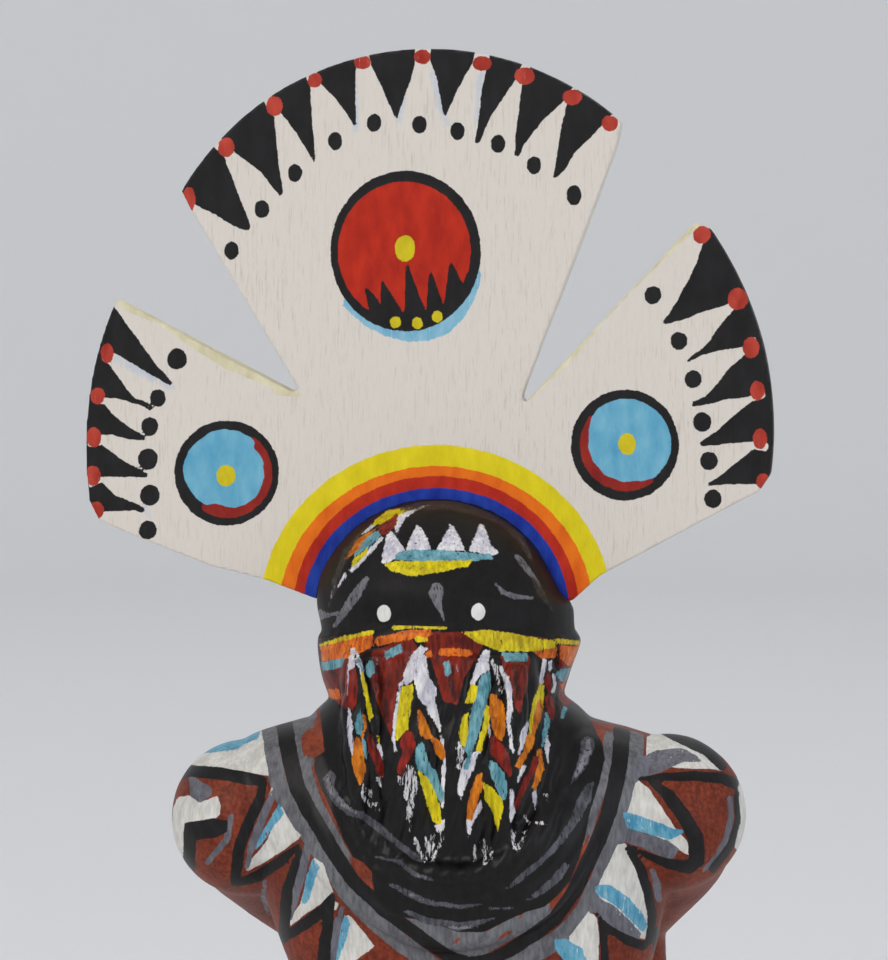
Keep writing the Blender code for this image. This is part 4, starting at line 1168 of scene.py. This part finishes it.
# Black dots: (x, y) along the top, and (x, y, half width) down the wings
TOP_DOTS = ((231.5, 250.6), (262, 209), (295, 173), (335, 141), (374, 123), (419.5, 124.5),
            (457.6, 131), (498, 144), (534, 165))
LEFT_DOTS = ((177, 359, 10), (158, 398, 8.2), (150, 426.5, 8.6), (148, 459, 10), (150, 495, 10),
             (148, 530, 9))
RIGHT_DOTS = ((653, 295, 8.6), (679, 341, 8.6), (693, 379, 8.6), (702, 422, 9.2), (709, 461, 8.8),
              (713, 499, 8.8))
TOP_CENTRE, LEFT_CENTRE, RIGHT_CENTRE = (410, 330), (215, 430), (640, 430)
WEDGE_REACH = 0.22                                 # past the rim, as a share of the way out there
TOP_DOT_SIZE, LAST_TOP_DOT, DOT_TALLER = (7.3, 9), (574, 195.3, 7.5, 10.5), 1.06

# The discs and yellow spots: (x, y, half width, half height), and the arch of bands
SUN_DISC, SUN_RED, SUN_INSIDE = (405.6, 251.2, 75.3, 80.3), (404.4, 251.5, 66.5, 70), (405.6, 251.2, 73, 78)
WING_DISCS = ((226.7, 473, 52.2, 52.6), (625, 445, 54, 55.4))
WING_INSIDES = ((227.5, 473.3, 44.9, 44.6), (625.6, 445, 45.7, 46.2))
YELLOW_SPOTS = ((405, 248.5, 10.1, 13.3), (226, 475.6, 9.8, 10.6), (627, 444, 9, 11),
                (395.6, 322.6, 5.5, 6), (417.3, 323.3, 5.5, 6), (437.3, 316.7, 5.5, 6))
ARCH_MIDDLE, ARCH_END = (436, 611), 660
ARCH_BANDS = {"arch_yellow": (176, 166), "arch_orange": (157, 145), "arch_red": (143, 135),
              "arch_blue": (133, 123), "arch_black": (121, 112)}
SUN_SPIKES = patch(
    (341, 290), (353, 298.5), (361, 306), (369, 311.5), (364.8, 289.5), (366.5, 287), (373.6, 293.7),
    (380.4, 305),
    (381, 282), (383, 280.6), (391, 293.7), (404.8, 314.8), (405.3, 264.4), (407.3, 261), (410.6, 271.7),
    (426, 311.8), (429.3, 271.7), (431.2, 271), (434.6, 279), (444, 308), (449, 263), (450.7, 261.3),
    (457.2, 271.7),
    (462.5, 284.6), (467, 272), (480, 268), (485, 300), (440, 345), (380, 345), (341, 312))
SUN_CRESCENT = patch(
    (342.8, 305.5), (356, 318.7), (370.7, 329), (385.3, 336.3), (408.8, 342), (429.3, 340.7),
    (450, 332.5),
    (463, 318.7), (473.3, 301), (479.4, 286.4), (481, 273), (470, 255), (405, 262), (346, 290))
DISC_DARK = (
    patch((252, 437), (285, 430), (290, 530), (200, 540), (202, 505), (227, 475)),
    patch((590.6, 414.7), (565, 420), (565, 500), (640, 510), (664, 492), (652, 478), (630, 445)),
)
DISC_BLUE = (
    patch((190, 448.4), (200.5, 439.4), (210.8, 432), (224.6, 429), (238.4, 430.8), (249.6, 436.8),
          (254.6, 441.8),
          (253.5, 447.5), (259, 453.5), (263.3, 462), (264, 476), (261.6, 486), (255.6, 497.4),
          (246, 504.3),
          (235, 508), (226.3, 506.6), (216, 503), (205.7, 505.2), (197, 499), (190, 489.7),
          (184.7, 479.4),
          (182.8, 470.8), (184.7, 458.7)),
    patch((591.6, 417.6), (588.7, 430), (588.3, 447.3), (593, 461), (604.4, 475), (623, 482),
          (642.3, 481),
          (654, 478), (664.3, 467.4), (670.6, 453), (672, 439.6), (668.7, 422.4), (660, 409),
          (646, 401.3),
          (629, 398), (615.5, 399.4), (599, 407)),
)
WING_RIMS = (
    stroke((5,), (718, 240), (741, 283), (759, 332), (769, 376), (773, 426), (773, 470)),
    stroke((3.4,), (113, 320), (101, 352), (90, 396), (84.5, 437), (84.5, 476), (88, 504)),
)
BLUE_HAZE = (
    stroke((3, 4, 2), (116, 358), (140, 371), (172, 388)), stroke((3, 4, 3), (353, 84), (354, 106),
           (356, 128)),
    stroke((2, 3.4), (404, 98), (399, 118)), stroke((3, 4, 2), (433, 74), (441, 104), (447, 124)),
    stroke((3, 3, 2), (481, 76), (479, 96), (477, 120)), stroke((2, 2), (143, 505), (150, 516)),
)
# Where the paint misses the sawn edge of the notches
BARE_EDGES = (
    patch((112, 298), (121, 309), (160, 325), (198, 352), (226, 369), (275, 389), (296, 395),
          (292, 380), (240, 355), (160, 306)),
    stroke((2.4,), (527, 400), (576, 353), (602, 320), (640, 280), (700, 222)),
    stroke((2.4, 3), (244, 318), (284, 384)), stroke((2,), (300, 395), (275, 393)),
)


def rim_wedges(rows, centre):
    """Black wedges between neighbouring dots, running out past the rim."""
    made = []
    for row in rows:
        ends = [np.array(q, float) for q in (row[-1], row[0])]
        made.append(patch(*row, *(tuple(q + (q - centre) * WEDGE_REACH) for q in ends)))
    return tuple(made)


def board_layers(p):
    """The distance of every point of the board to each coat of paint, in millimetres."""
    px, py = sheet_place(p)
    front = p[:, 1] < 2.6

    def marks(*group):
        return only(front, nearest(group, px, py))

    dots = [spot(x, y, *TOP_DOT_SIZE) for x, y in TOP_DOTS] + [spot(*LAST_TOP_DOT)]
    dots += [spot(x, y, r, r * DOT_TALLER) for x, y, r in LEFT_DOTS + RIGHT_DOTS]
    wedges = (rim_wedges(TOP_WEDGES, TOP_CENTRE) + rim_wedges(LEFT_WEDGES, LEFT_CENTRE)
              + rim_wedges(RIGHT_WEDGES, RIGHT_CENTRE))
    discs = [spot(*disc) for disc in (SUN_DISC, *WING_DISCS)]
    insides = marks(*(spot(*inside) for inside in WING_INSIDES))
    layers = {
        "blue_haze": marks(*BLUE_HAZE),
        "pale_blue": marks(SUN_CRESCENT),
        "board_black": marks(*discs, *dots, *wedges, *WING_RIMS),
        "sun_red": marks(spot(*SUN_RED)),
        "tip_red": marks(*(spot(*dot) for dot in RED_DOTS)),
        "disc_dark": np.maximum(marks(*DISC_DARK), insides),
        "disc_blue": np.maximum(marks(*DISC_BLUE), insides),
        "board_yellow": marks(*(spot(*place) for place in YELLOW_SPOTS)),
        "bare_edge": marks(*BARE_EDGES),
    }
    for name, size in ARCH_BANDS.items():
        layers[name] = only(py < ARCH_END, marks(spot(*ARCH_MIDDLE, *size)))
    spikes = np.maximum(marks(SUN_SPIKES), marks(spot(*SUN_INSIDE)))
    layers["arch_black"] = np.minimum(layers["arch_black"], spikes)
    return {name: np.clip(values, -FAR, FAR) for name, values in layers.items()}


def set_layers(mesh, layers):
    for name, values in layers.items():
        mesh.attributes.new(name, "FLOAT", "POINT").data.foreach_set("value", values.astype(np.float32))


# Materials


class Paintwork:
    """Builds a painted-wood material coat by coat, each over the last."""

    def __init__(self, name):
        self.material = bpy.data.materials.new(name)
        self.material.use_nodes = True
        self.tree = self.material.node_tree
        self.shader = self.tree.nodes["Principled BSDF"]
        self.shader.inputs["Specular IOR Level"].default_value = 0.22
        self.place = add(self.tree, "ShaderNodeTexCoord").outputs["Object"]
        wobble = self.noise(1.6, 3.0)
        fine = self.noise(0.35, 2.0)
        self.wobble = self.math("ADD", self.math("MULTIPLY_ADD", wobble, 0.34, -0.17),
                                self.math("MULTIPLY_ADD", fine, 0.12, -0.06))

    def math(self, operation, *values):
        return add(self.tree, "ShaderNodeMath", dict(enumerate(values)), operation=operation).outputs[0]

    def noise(self, size, detail=2.0, stretch=(1.0, 1.0, 1.0), rough=0.5):
        """Noise with bumps of about the given size in millimetres."""
        scaled = add(self.tree, "ShaderNodeMapping",
                     {"Vector": self.place, "Scale": tuple(1 / (size * MM * s) for s in stretch)})
        return add(self.tree, "ShaderNodeTexNoise",
                   {"Vector": scaled.outputs[0], "Scale": 1.0, "Detail": detail,
                    "Roughness": rough}).outputs["Fac"]

    def ramp(self, value, low, high, out_low=0.0, out_high=1.0):
        return add(self.tree, "ShaderNodeMapRange",
                   {"Value": value, "From Min": low, "From Max": high, "To Min": out_low,
                    "To Max": out_high}).outputs["Result"]

    def mix(self, share, a, b, kind="RGBA"):
        first, second, out = {"RGBA": (6, 7, 2), "FLOAT": (2, 3, 0)}[kind]
        return add(self.tree, "ShaderNodeMix", {0: share, first: a, second: b}, data_type=kind).outputs[out]

    def ground(self, dark, light, share, roughness):
        self.colour = self.mix(share, linear(dark), linear(light))
        self.rough = roughness

    def coat(self, layer, dark, light, roughness, dry=0.0, ragged=0.0, soft=0.04):
        """Paint wherever the layer's distance is below zero, with a hand-held brush's edge."""
        edge = add(self.tree, "ShaderNodeAttribute", attribute_name=layer).outputs["Fac"]
        edge = self.math("ADD", edge, self.wobble)
        if ragged:
            edge = self.math("MULTIPLY_ADD", self.bristles, ragged, edge)
        cover = self.ramp(edge, soft, -soft)
        if dry:
            cover = self.math("MULTIPLY", cover, self.ramp(self.streaks, dry - 0.06, dry + 0.06))
        self.colour = self.mix(cover, self.colour, self.mix(self.mottle, linear(dark), linear(light)))
        self.rough = self.mix(cover, self.rough, roughness, "FLOAT")

    def finish(self, grain, depth):
        """Grain and brush marks under and in the paint, as bump."""
        bump = add(self.tree, "ShaderNodeBump",
                   {"Height": self.math("MULTIPLY", grain, depth), "Strength": 1.0, "Distance": MM})
        for name, value in (("Base Color", self.colour), ("Roughness", self.rough),
                            ("Normal", bump.outputs["Normal"])):
            feed(self.tree, value, self.shader.inputs[name])
        return self.material


def acrylic_on_figure():
    """Craft acrylic brushed on sanded pine: satin, with brush streaks and ragged stroke ends."""
    work = Paintwork("brushed_acrylic_on_carved_pine")
    work.mottle = work.ramp(work.mix(0.5, work.noise(1.5, 3.0, (1.0, 1.0, 1.8)),
                                     work.noise(0.4, 2.0, (1.0, 1.0, 4.5)), "FLOAT"), 0.38, 0.62)
    work.streaks = work.noise(0.26, 2.0, (1.0, 1.0, 5.0), 0.6)
    work.bristles = work.math("SUBTRACT", work.noise(0.34, 3.0, (1.0, 1.0, 3.4), 0.7), 0.5)
    speck = work.ramp(work.noise(0.5, 2.0), 0.42, 0.62)
    stain = work.ramp(work.noise(7.0, 2.0), 0.36, 0.60, 0.55, 1.0)
    worn = work.math("MULTIPLY", work.mix(0.5, speck, work.mottle, "FLOAT"), stain)
    work.ground("#591f0e", "#8d3c22", worn, 0.5)
    # Each coat: layer, darker and lighter colour, roughness, dryness, raggedness
    coats = (
        ("buckskin", "#a98b5b", "#c9ad7b", 0.6, 0.0, 0.0),
        ("black", "#070607", "#131112", 0.55, 0.0, 0.0),
        ("ring_grey", "#525358", "#74757a", 0.45, 0.27, 0.1),
        ("ring_warm", "#6f2c18", "#93442a", 0.5, 0.36, 0.6),
        ("teeth_white", "#c0beb8", "#dbdad5", 0.55, 0.0, 0.1),
        ("teeth_blue", "#3f87a8", "#70acc2", 0.5, 0.33, 0.4),
        ("teeth_grey", "#54545c", "#70707a", 0.45, 0.31, 0.2),
        ("teeth_black", "#0c0b0c", "#181719", 0.42, 0.0, 0.1),
        ("kerchief_black", "#070607", "#121112", 0.36, 0.0, 0.0),
        # highlights and sheen painted on the kerchief's folds
        ("fold_highlight", "#34343b", "#5a5a62", 0.38, 0.36, 0.5),
        ("fold_shine", "#5c5c64", "#85858c", 0.4, 0.42, 0.6),
        ("band_black", "#050505", "#0f0d0e", 0.42, 0.0, 0.3),
        ("band_red", "#480c05", "#882412", 0.42, 0.0, 0.5),
        # shade painted into the band's grooves and crack
        ("band_groove_shade", "#280705", "#52100a", 0.4, 0.40, 0.6),
        ("band_orange", "#a8420e", "#ea7c1c", 0.42, 0.34, 0.7),
        ("band_yellow", "#a18c0c", "#e6d21c", 0.46, 0.32, 0.7),
        ("white", "#b3b1c2", "#e6e5e6", 0.5, 0.32, 0.8),
        ("blue", "#3c7886", "#7cb0bc", 0.46, 0.33, 0.7),
        ("yellow", "#b2a208", "#e8d614", 0.46, 0.32, 0.7),
        ("orange", "#9a4a06", "#e08410", 0.44, 0.32, 0.7),
        ("red", "#400b07", "#922012", 0.42, 0.30, 0.6),
        ("dry_white", "#b9b8bd", "#e2e1e2", 0.55, 0.46, 1.4),
        ("eye_white", "#d4d5d2", "#e8e8e4", 0.45, 0.0, 0.0),
        # grey strokes painted as highlights on the hood
        ("hood_highlight", "#55555b", "#77777d", 0.5, 0.38, 0.5),
        ("hood_ridge", "#302c2a", "#454039", 0.6, 0.44, 0.8),
    )
    for coat in coats:
        work.coat(*coat)
    brush = work.math("ADD", work.noise(0.22, 2.0, (1.0, 1.0, 6.0)),
                      work.math("MULTIPLY", work.noise(0.12, 2.0), 0.6))
    return work.finish(brush, 0.030)


def acrylic_on_board():
    """White craft acrylic over sawn softwood: upright grain telegraphs through the paint."""
    work = Paintwork("brushed_acrylic_on_sawn_board")
    work.mottle = work.ramp(work.noise(2.0, 3.0, (1.0, 1.0, 2.0)), 0.3, 0.7)
    work.streaks = work.noise(0.22, 3.0, (1.0, 1.0, 14.0), 0.65)
    work.bristles = work.math("SUBTRACT", work.noise(0.5, 3.0), 0.5)
    pores = work.ramp(work.streaks, 0.54, 0.78)
    stain = work.ramp(work.noise(11.0, 4.0, (1.0, 1.0, 1.7)), 0.3, 0.7, 0.3, 1.0)
    work.ground("#d9d3cb", "#b9b0a3", work.math("MULTIPLY", pores, stain), 0.62)
    # Each coat: layer, darker and lighter colour, roughness, dryness, raggedness, softness
    coats = (
        ("blue_haze", "#b9c3d0", "#c8ccd4", 0.6, 0.40, 1.0, 0.3),
        ("pale_blue", "#68a8c6", "#92c2d6", 0.5, 0.34, 0.4),
        ("board_black", "#121112", "#1e1d1f", 0.42, 0.0, 0.2),
        ("arch_yellow", "#d4c208", "#e8d61c", 0.46, 0.0, 0.1),
        ("arch_orange", "#e06006", "#f27c10", 0.44, 0.0, 0.1),
        ("arch_red", "#a81c0a", "#c83018", 0.44, 0.0, 0.1),
        ("sun_red", "#9e1a08", "#c02c12", 0.40, 0.0, 0.0),
        ("tip_red", "#962418", "#bf4636", 0.5, 0.26, 0.3),
        ("arch_blue", "#0a2590", "#2247b2", 0.42, 0.0, 0.1),
        ("arch_black", "#100f10", "#1c1b1d", 0.42, 0.0, 0.1),
        ("disc_dark", "#7a1410", "#98261a", 0.40, 0.0, 0.2),
        ("disc_blue", "#4f9cc0", "#78b6ce", 0.42, 0.0, 0.1),
        ("board_yellow", "#bfae10", "#dccb20", 0.44, 0.0, 0.3),
        ("bare_edge", "#c9c1a0", "#e2dcbe", 0.7, 0.0, 0.2),
    )
    for coat in coats:
        work.coat(*coat)
    return work.finish(work.math("ADD", work.streaks, work.math("MULTIPLY", work.noise(0.5), 0.5)), 0.085)


def stained_pine():
    """Sanded pine slab under a brown oil stain: rings about 3.4 mm apart, and fine fibres across."""
    work = Paintwork("oil_stained_sanded_pine")
    rings = add(work.tree, "ShaderNodeTexWave",
                {"Vector": work.place, "Scale": 1 / (3.4 * MM * 2 * math.pi) * 2, "Distortion": 3.5,
                 "Detail": 3.0, "Detail Scale": 1.2}, bands_direction="Y").outputs["Fac"]
    fibre = work.noise(0.35, 3.0, (14.0, 1.0, 1.0), 0.6)
    share = work.math("MULTIPLY_ADD", fibre, 0.55, work.math("MULTIPLY", rings, 0.45))
    work.ground("#4a2c18", "#8a5a34", share, 0.48)
    return work.finish(fibre, 0.05)


# Pieces


def make_figure(material):
    carving, tree = Carving(), roll_tree()
    for table, squareness in ((TORSO, 2.3), (KERCHIEF, 2.1), (BIB, 2.6), (BELT, 2.2)):
        carving.loft(sections(table, squareness))
    carving.loft(sections(KILT, 2.1, ripple=pleats))
    carve_head(carving)
    carve_folds(carving, tree)
    carve_feathers(carving, tree)
    for side in (-1, 1):
        carve_arm(carving, tree, side)
        carving.loft(sections(BOOT, shift=side * LEG_SPREAD))
    shells = carving.mesh("figure_shells")
    mesh = fused("figure_even", shells.copy(), VOXEL_EVEN, 1)

    def painted(p):
        """The hem's border, boot tops, chest, upper back, neck and head."""
        x, y, z = p.T
        low = (z < 47) & ((z > 31) | ((z < 27) & (z > 17)))
        chest = (z > 80) & (z < 118) & (y < 3)
        upper_back = (z > 88) & (z < 118) & (y >= 3) & (abs(x + 3) < 30)
        return low | chest | upper_back | (z >= 116)

    def hood_front(p):
        px, py = sheet_place(p)
        return (p[:, 1] < -0.5) & (px > 305) & (px < 600) & (py > 495) & (py < 880)

    refine(mesh, painted, BRUSH_MESH)
    refine(mesh, hood_front, FINE_BRUSH_MESH)
    mesh = pressed("carved_figure", mesh, fused("figure_skin", shells, VOXEL_SKIN, 6))
    carve_relief(mesh)
    set_layers(mesh, paint_layers(above_soles(read_points(mesh))))
    return finished("painted_figure", mesh, material)


def finished(name, mesh, material):
    mesh.name = name
    mesh.materials.clear()
    mesh.materials.append(material)
    mesh.shade_smooth()
    return link_object(name, mesh)


def arc(start, middle, end, steps=60):
    """Points from start to end on the circle through three points, ends included."""
    (ax, ay), (bx, by), (cx, cy) = start, middle, end
    d = 2 * (ax * (by - cy) + bx * (cy - ay) + cx * (ay - by))
    a2, b2, c2 = ax * ax + ay * ay, bx * bx + by * by, cx * cx + cy * cy
    ox = (a2 * (by - cy) + b2 * (cy - ay) + c2 * (ay - by)) / d
    oy = (a2 * (cx - bx) + b2 * (ax - cx) + c2 * (bx - ax)) / d
    radius = math.hypot(ax - ox, ay - oy)
    first = math.atan2(ay - oy, ax - ox)
    sweep = (math.atan2(cy - oy, cx - ox) - first + math.pi) % (2 * math.pi) - math.pi
    return [(ox + radius * math.cos(first + sweep * i / steps),
             oy + radius * math.sin(first + sweep * i / steps)) for i in range(steps + 1)]


def rounded(before, corner, after, radius, steps=8):
    """A corner of the outline worked round with a file."""
    before, corner, after = (np.array(q, float) for q in (before, corner, after))
    to_before = (before - corner) / np.linalg.norm(before - corner)
    to_after = (after - corner) / np.linalg.norm(after - corner)
    half = math.acos(np.clip(to_before @ to_after, -1, 1)) / 2
    reach = radius / math.tan(half)
    a, b = corner + to_before * reach, corner + to_after * reach
    t = np.linspace(0, 1, steps + 1)[:, None]
    return [tuple(q) for q in a * (1 - t) ** 2 + 2 * corner * t * (1 - t) + b * t ** 2]


def board_outline():
    left, top, right = (arc(*a) for a in (LEFT_WING_ARC, TOP_LOBE_ARC, RIGHT_WING_ARC))
    return ([FOOT_LEFT, LEFT_SHOULDER, *LEFT_BELLY]
            + rounded(LEFT_BELLY[-1], LEFT_HEEL, left[0], 1.2) + left[1:-1]
            + rounded(left[-2], left[-1], LEFT_NOTCH, 0.5)
            + rounded(left[-1], LEFT_NOTCH, LOBE_LEFT, 0.45)
            + rounded(LEFT_NOTCH, LOBE_LEFT, top[0], 0.6) + rounded(LOBE_LEFT, top[0], top[1], 0.4)
            + top[1:-1] + rounded(top[-2], top[-1], LOBE_RIGHT[0], 0.5) + list(LOBE_RIGHT)
            + rounded(LOBE_RIGHT[-1], RIGHT_NOTCH, RIGHT_TIP, 0.3)
            + rounded(RIGHT_NOTCH, RIGHT_TIP, right[0], 0.4) + rounded(RIGHT_TIP, right[0], right[1], 0.5)
            + right[1:-1] + rounded(right[-1], RIGHT_HEEL, RIGHT_SHOULDER, 0.8)
            + [RIGHT_SHOULDER, FOOT_RIGHT])


def make_board(material):
    """The sawn board: outline, sanded edges, and a slightly uneven hand-planed face."""
    curve = bpy.data.curves.new("board_outline", "CURVE")
    curve.dimensions = "2D"
    curve.fill_mode = "BOTH"
    thickness = BOARD_HIGH.y - BOARD_LOW.y
    curve.extrude = thickness / 2
    outline = board_outline()
    spline = curve.splines.new("POLY")
    spline.points.add(len(outline) - 1)
    for point, (x, height) in zip(spline.points, outline):
        point.co = (x, height, 0.0, 1.0)
    spline.use_cyclic_u = True
    item = link_object("board_rough", curve)
    weld = item.modifiers.new("weld", "WELD")
    weld.merge_threshold = 0.002
    rounding = item.modifiers.new("sanded_edges", "BEVEL")
    rounding.width = BOARD_EDGE
    rounding.segments = 4
    rounding.limit_method = "ANGLE"
    rounding.angle_limit = math.radians(60)
    mesh = baked(item)
    x, height, depth = coordinates(mesh).T
    write_points(mesh, np.stack([HEAD_X + x, thickness / 2 - depth, BOARD_LOW.z + height], 1))
    mesh = fused("board", mesh, VOXEL_BOARD, 2)
    points, normals = read_points(mesh), read_normals(mesh)
    lift = 0.05 * waves(points * (1, 1, 0.5), 9.0, 21) + 0.02 * waves(points * (1, 1, 0.2), 1.6, 22)
    foot = np.clip((points[:, 2] - BOARD_LOW.z - 1) / 3, 0, 1)
    write_points(mesh, points + normals * ((lift - 0.05) * foot)[:, None])
    set_layers(mesh, board_layers(above_soles(read_points(mesh))))
    return finished("painted_board", mesh, material)


def slab_tree():
    """Geometry Nodes: a round slab whose edges are eased."""
    tree, given = open_tree("eased_slab", (("Radius", "Float"), ("Height", "Float"), ("Edge", "Float"),
                                           ("Material", "Material")))

    def math_node(operation, *values):
        return add(tree, "ShaderNodeMath", dict(enumerate(values)), operation=operation).outputs[0]

    slab = add(tree, "GeometryNodeMeshCylinder",
               {"Vertices": 160, "Side Segments": 24, "Fill Segments": 64,
                "Radius": given["Radius"], "Depth": given["Height"]})
    here = add(tree, "ShaderNodeSeparateXYZ",
               {"Vector": add(tree, "GeometryNodeInputPosition").outputs[0]}).outputs
    away = math_node("SQRT", math_node("ADD", math_node("MULTIPLY", here["X"], here["X"]),
                                       math_node("MULTIPLY", here["Y"], here["Y"])))
    edge, half = given["Edge"], math_node("MULTIPLY", given["Height"], 0.5)
    flat_radius = math_node("SUBTRACT", given["Radius"], edge)
    flat_half = math_node("SUBTRACT", half, edge)
    out = math_node("MAXIMUM", math_node("DIVIDE", math_node("SUBTRACT", away, flat_radius), edge), 0.0)
    rise = math_node("MAXIMUM", math_node("DIVIDE", math_node(
        "SUBTRACT", math_node("ABSOLUTE", here["Z"]), flat_half), edge), 0.0)
    long = math_node("MAXIMUM", math_node("SQRT", math_node(
        "ADD", math_node("MULTIPLY", out, out), math_node("MULTIPLY", rise, rise))), 0.001)
    shrink = math_node("DIVIDE", math_node("MAXIMUM", out, rise), long)
    shrink = math_node("MINIMUM", math_node("MAXIMUM", shrink, 0.5), 1.0)
    corner = math_node("MULTIPLY", math_node("GREATER_THAN", out, 0.0),
                       math_node("GREATER_THAN", rise, 0.0))
    new_out = math_node("ADD", flat_radius, math_node("MULTIPLY", math_node("MULTIPLY", out, shrink), edge))
    new_half = math_node("ADD", flat_half, math_node("MULTIPLY", math_node("MULTIPLY", rise, shrink), edge))
    side_scale = math_node("DIVIDE", new_out, math_node("MAXIMUM", away, 0.00001))
    rise_scale = math_node("DIVIDE", new_half,
                           math_node("MAXIMUM", math_node("ABSOLUTE", here["Z"]), 0.00001))
    eased = add(tree, "ShaderNodeCombineXYZ",
                {"X": math_node("MULTIPLY", here["X"], side_scale),
                 "Y": math_node("MULTIPLY", here["Y"], side_scale),
                 "Z": math_node("MULTIPLY", here["Z"], rise_scale)}).outputs[0]
    moved = add(tree, "GeometryNodeSetPosition",
                {"Geometry": slab.outputs["Mesh"], "Selection": math_node("GREATER_THAN", corner, 0.5),
                 "Position": eased})
    return close_tree(tree, moved.outputs["Geometry"], given["Material"])


def make_base(material):
    low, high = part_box("base")
    radius, height = (high.x - low.x) / 2 / MM, (high.z - low.z) / MM
    tree = slab_tree()
    item = link_object("slab", bpy.data.meshes.new("slab"))
    modifier = item.modifiers.new("slab", "NODES")
    modifier.node_group = tree
    set_inputs(modifier, tree, {"Radius": radius, "Height": height, "Edge": BASE_EDGE,
                                "Material": material})
    mesh = baked(item)
    places = coordinates(mesh) + (0.0, 0.0, height / 2)
    rim = np.clip(1 - (radius - np.hypot(places[:, 0], places[:, 1])) / RIM_WIDTH, 0, 1)
    places[:, :2] *= (1 - RIM_WEAR * rim * (1 + waves(places, 14.0, 31)) / 2)[:, None]
    write_points(mesh, places)
    return finished("stained_base", mesh, material)


def make_floor():
    """Pale studio paper: flat under the doll and curving up into a wall all the way round."""
    flat, curve, rise, sides = 1.9, 0.5, 2.4, 96   # radii and height in metres
    profile = [(0.4, 0.0)] + [(flat + curve * math.sin(t), curve - curve * math.cos(t))
                              for t in np.linspace(0, math.pi / 2, 20)] + [(flat + curve, rise)]
    turns = [2 * math.pi * i / sides for i in range(sides)]
    points = [(r * math.cos(t), r * math.sin(t), z) for r, z in profile for t in turns]
    faces = [(r * sides + i, r * sides + (i + 1) % sides, (r + 1) * sides + (i + 1) % sides,
              (r + 1) * sides + i) for r in range(len(profile) - 1) for i in range(sides)]
    faces.append(tuple(reversed(range(sides))))
    mesh = bpy.data.meshes.new("studio_paper")
    mesh.from_pydata(points, [], faces)
    mesh.shade_smooth()
    paper = bpy.data.materials.new("matte_studio_paper")
    paper.use_nodes = True
    shader = paper.node_tree.nodes["Principled BSDF"]
    shader.inputs["Base Color"].default_value = linear("#e9eaec")
    shader.inputs["Roughness"].default_value = 0.95
    mesh.materials.append(paper)
    floor = link_object("studio_paper", mesh)


def make_light(name, place, size, power, colour="#ffffff", aim=(0.0, 0.0, 0.13)):
    """A round softbox: its place, width and aim in metres, its power in watts."""
    lamp = bpy.data.lights.new(name, "AREA")
    lamp.shape = "DISK"
    lamp.size = size
    lamp.energy = power
    lamp.color = linear(colour)[:3]
    item = link_object(name, lamp)
    item.location = place
    item.rotation_euler = (Vector(aim) - item.location).to_track_quat("-Z", "Y").to_euler()


def make_studio():
    make_light("key_softbox", (-0.55, -0.85, 0.75), 0.5, 4.7, "#fff8f0")
    make_light("fill_softbox", (0.8, -0.7, 0.4), 0.7, 2.1, "#f4f8ff")
    make_light("top_softbox", (0.1, 0.25, 0.95), 0.6, 2.0)
    for i in range(6):
        x, y = math.cos(math.pi * i / 3), math.sin(math.pi * i / 3)
        make_light(f"wall_wash_{i + 1}", (1.1 * x, 1.1 * y, 1.5), 0.9, 4.8,
                   aim=(2.4 * x, 2.4 * y, 0.1))
    world = bpy.data.worlds.new("pale_room")
    bpy.context.scene.world = world
    world.use_nodes = True
    sky = world.node_tree.nodes["Background"]
    sky.inputs["Color"].default_value = linear("#e8eaee")
    sky.inputs["Strength"].default_value = 0.3
    bpy.context.scene.view_settings.view_transform = "Standard"


def make_camera():
    data = bpy.data.cameras.new("camera")
    data.sensor_fit = "VERTICAL"
    data.sensor_height = data.sensor_width = SENSOR
    data.lens = LENS
    data.clip_start, data.clip_end = 0.05, 20.0
    item = link_object("camera", data)
    back = Vector(towards_camera())
    item.location = (Vector(CAMERA_AIM) + back * CAMERA_DISTANCE) * MM
    item.rotation_euler = (-back).to_track_quat("-Z", "Y").to_euler()
    bpy.context.scene.camera = item


def main():
    figure = make_figure(acrylic_on_figure())
    board = make_board(acrylic_on_board())
    slab = make_base(stained_pine())
    for piece, node, slot in ((figure, "carved_figure", "figure_paint"),
                              (board, "tablita_headdress", "board_paint"),
                              (slab, "base", "base_wood")):
        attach(piece, "root")
        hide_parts(node)
    make_floor()
    make_studio()
    make_camera()


main()
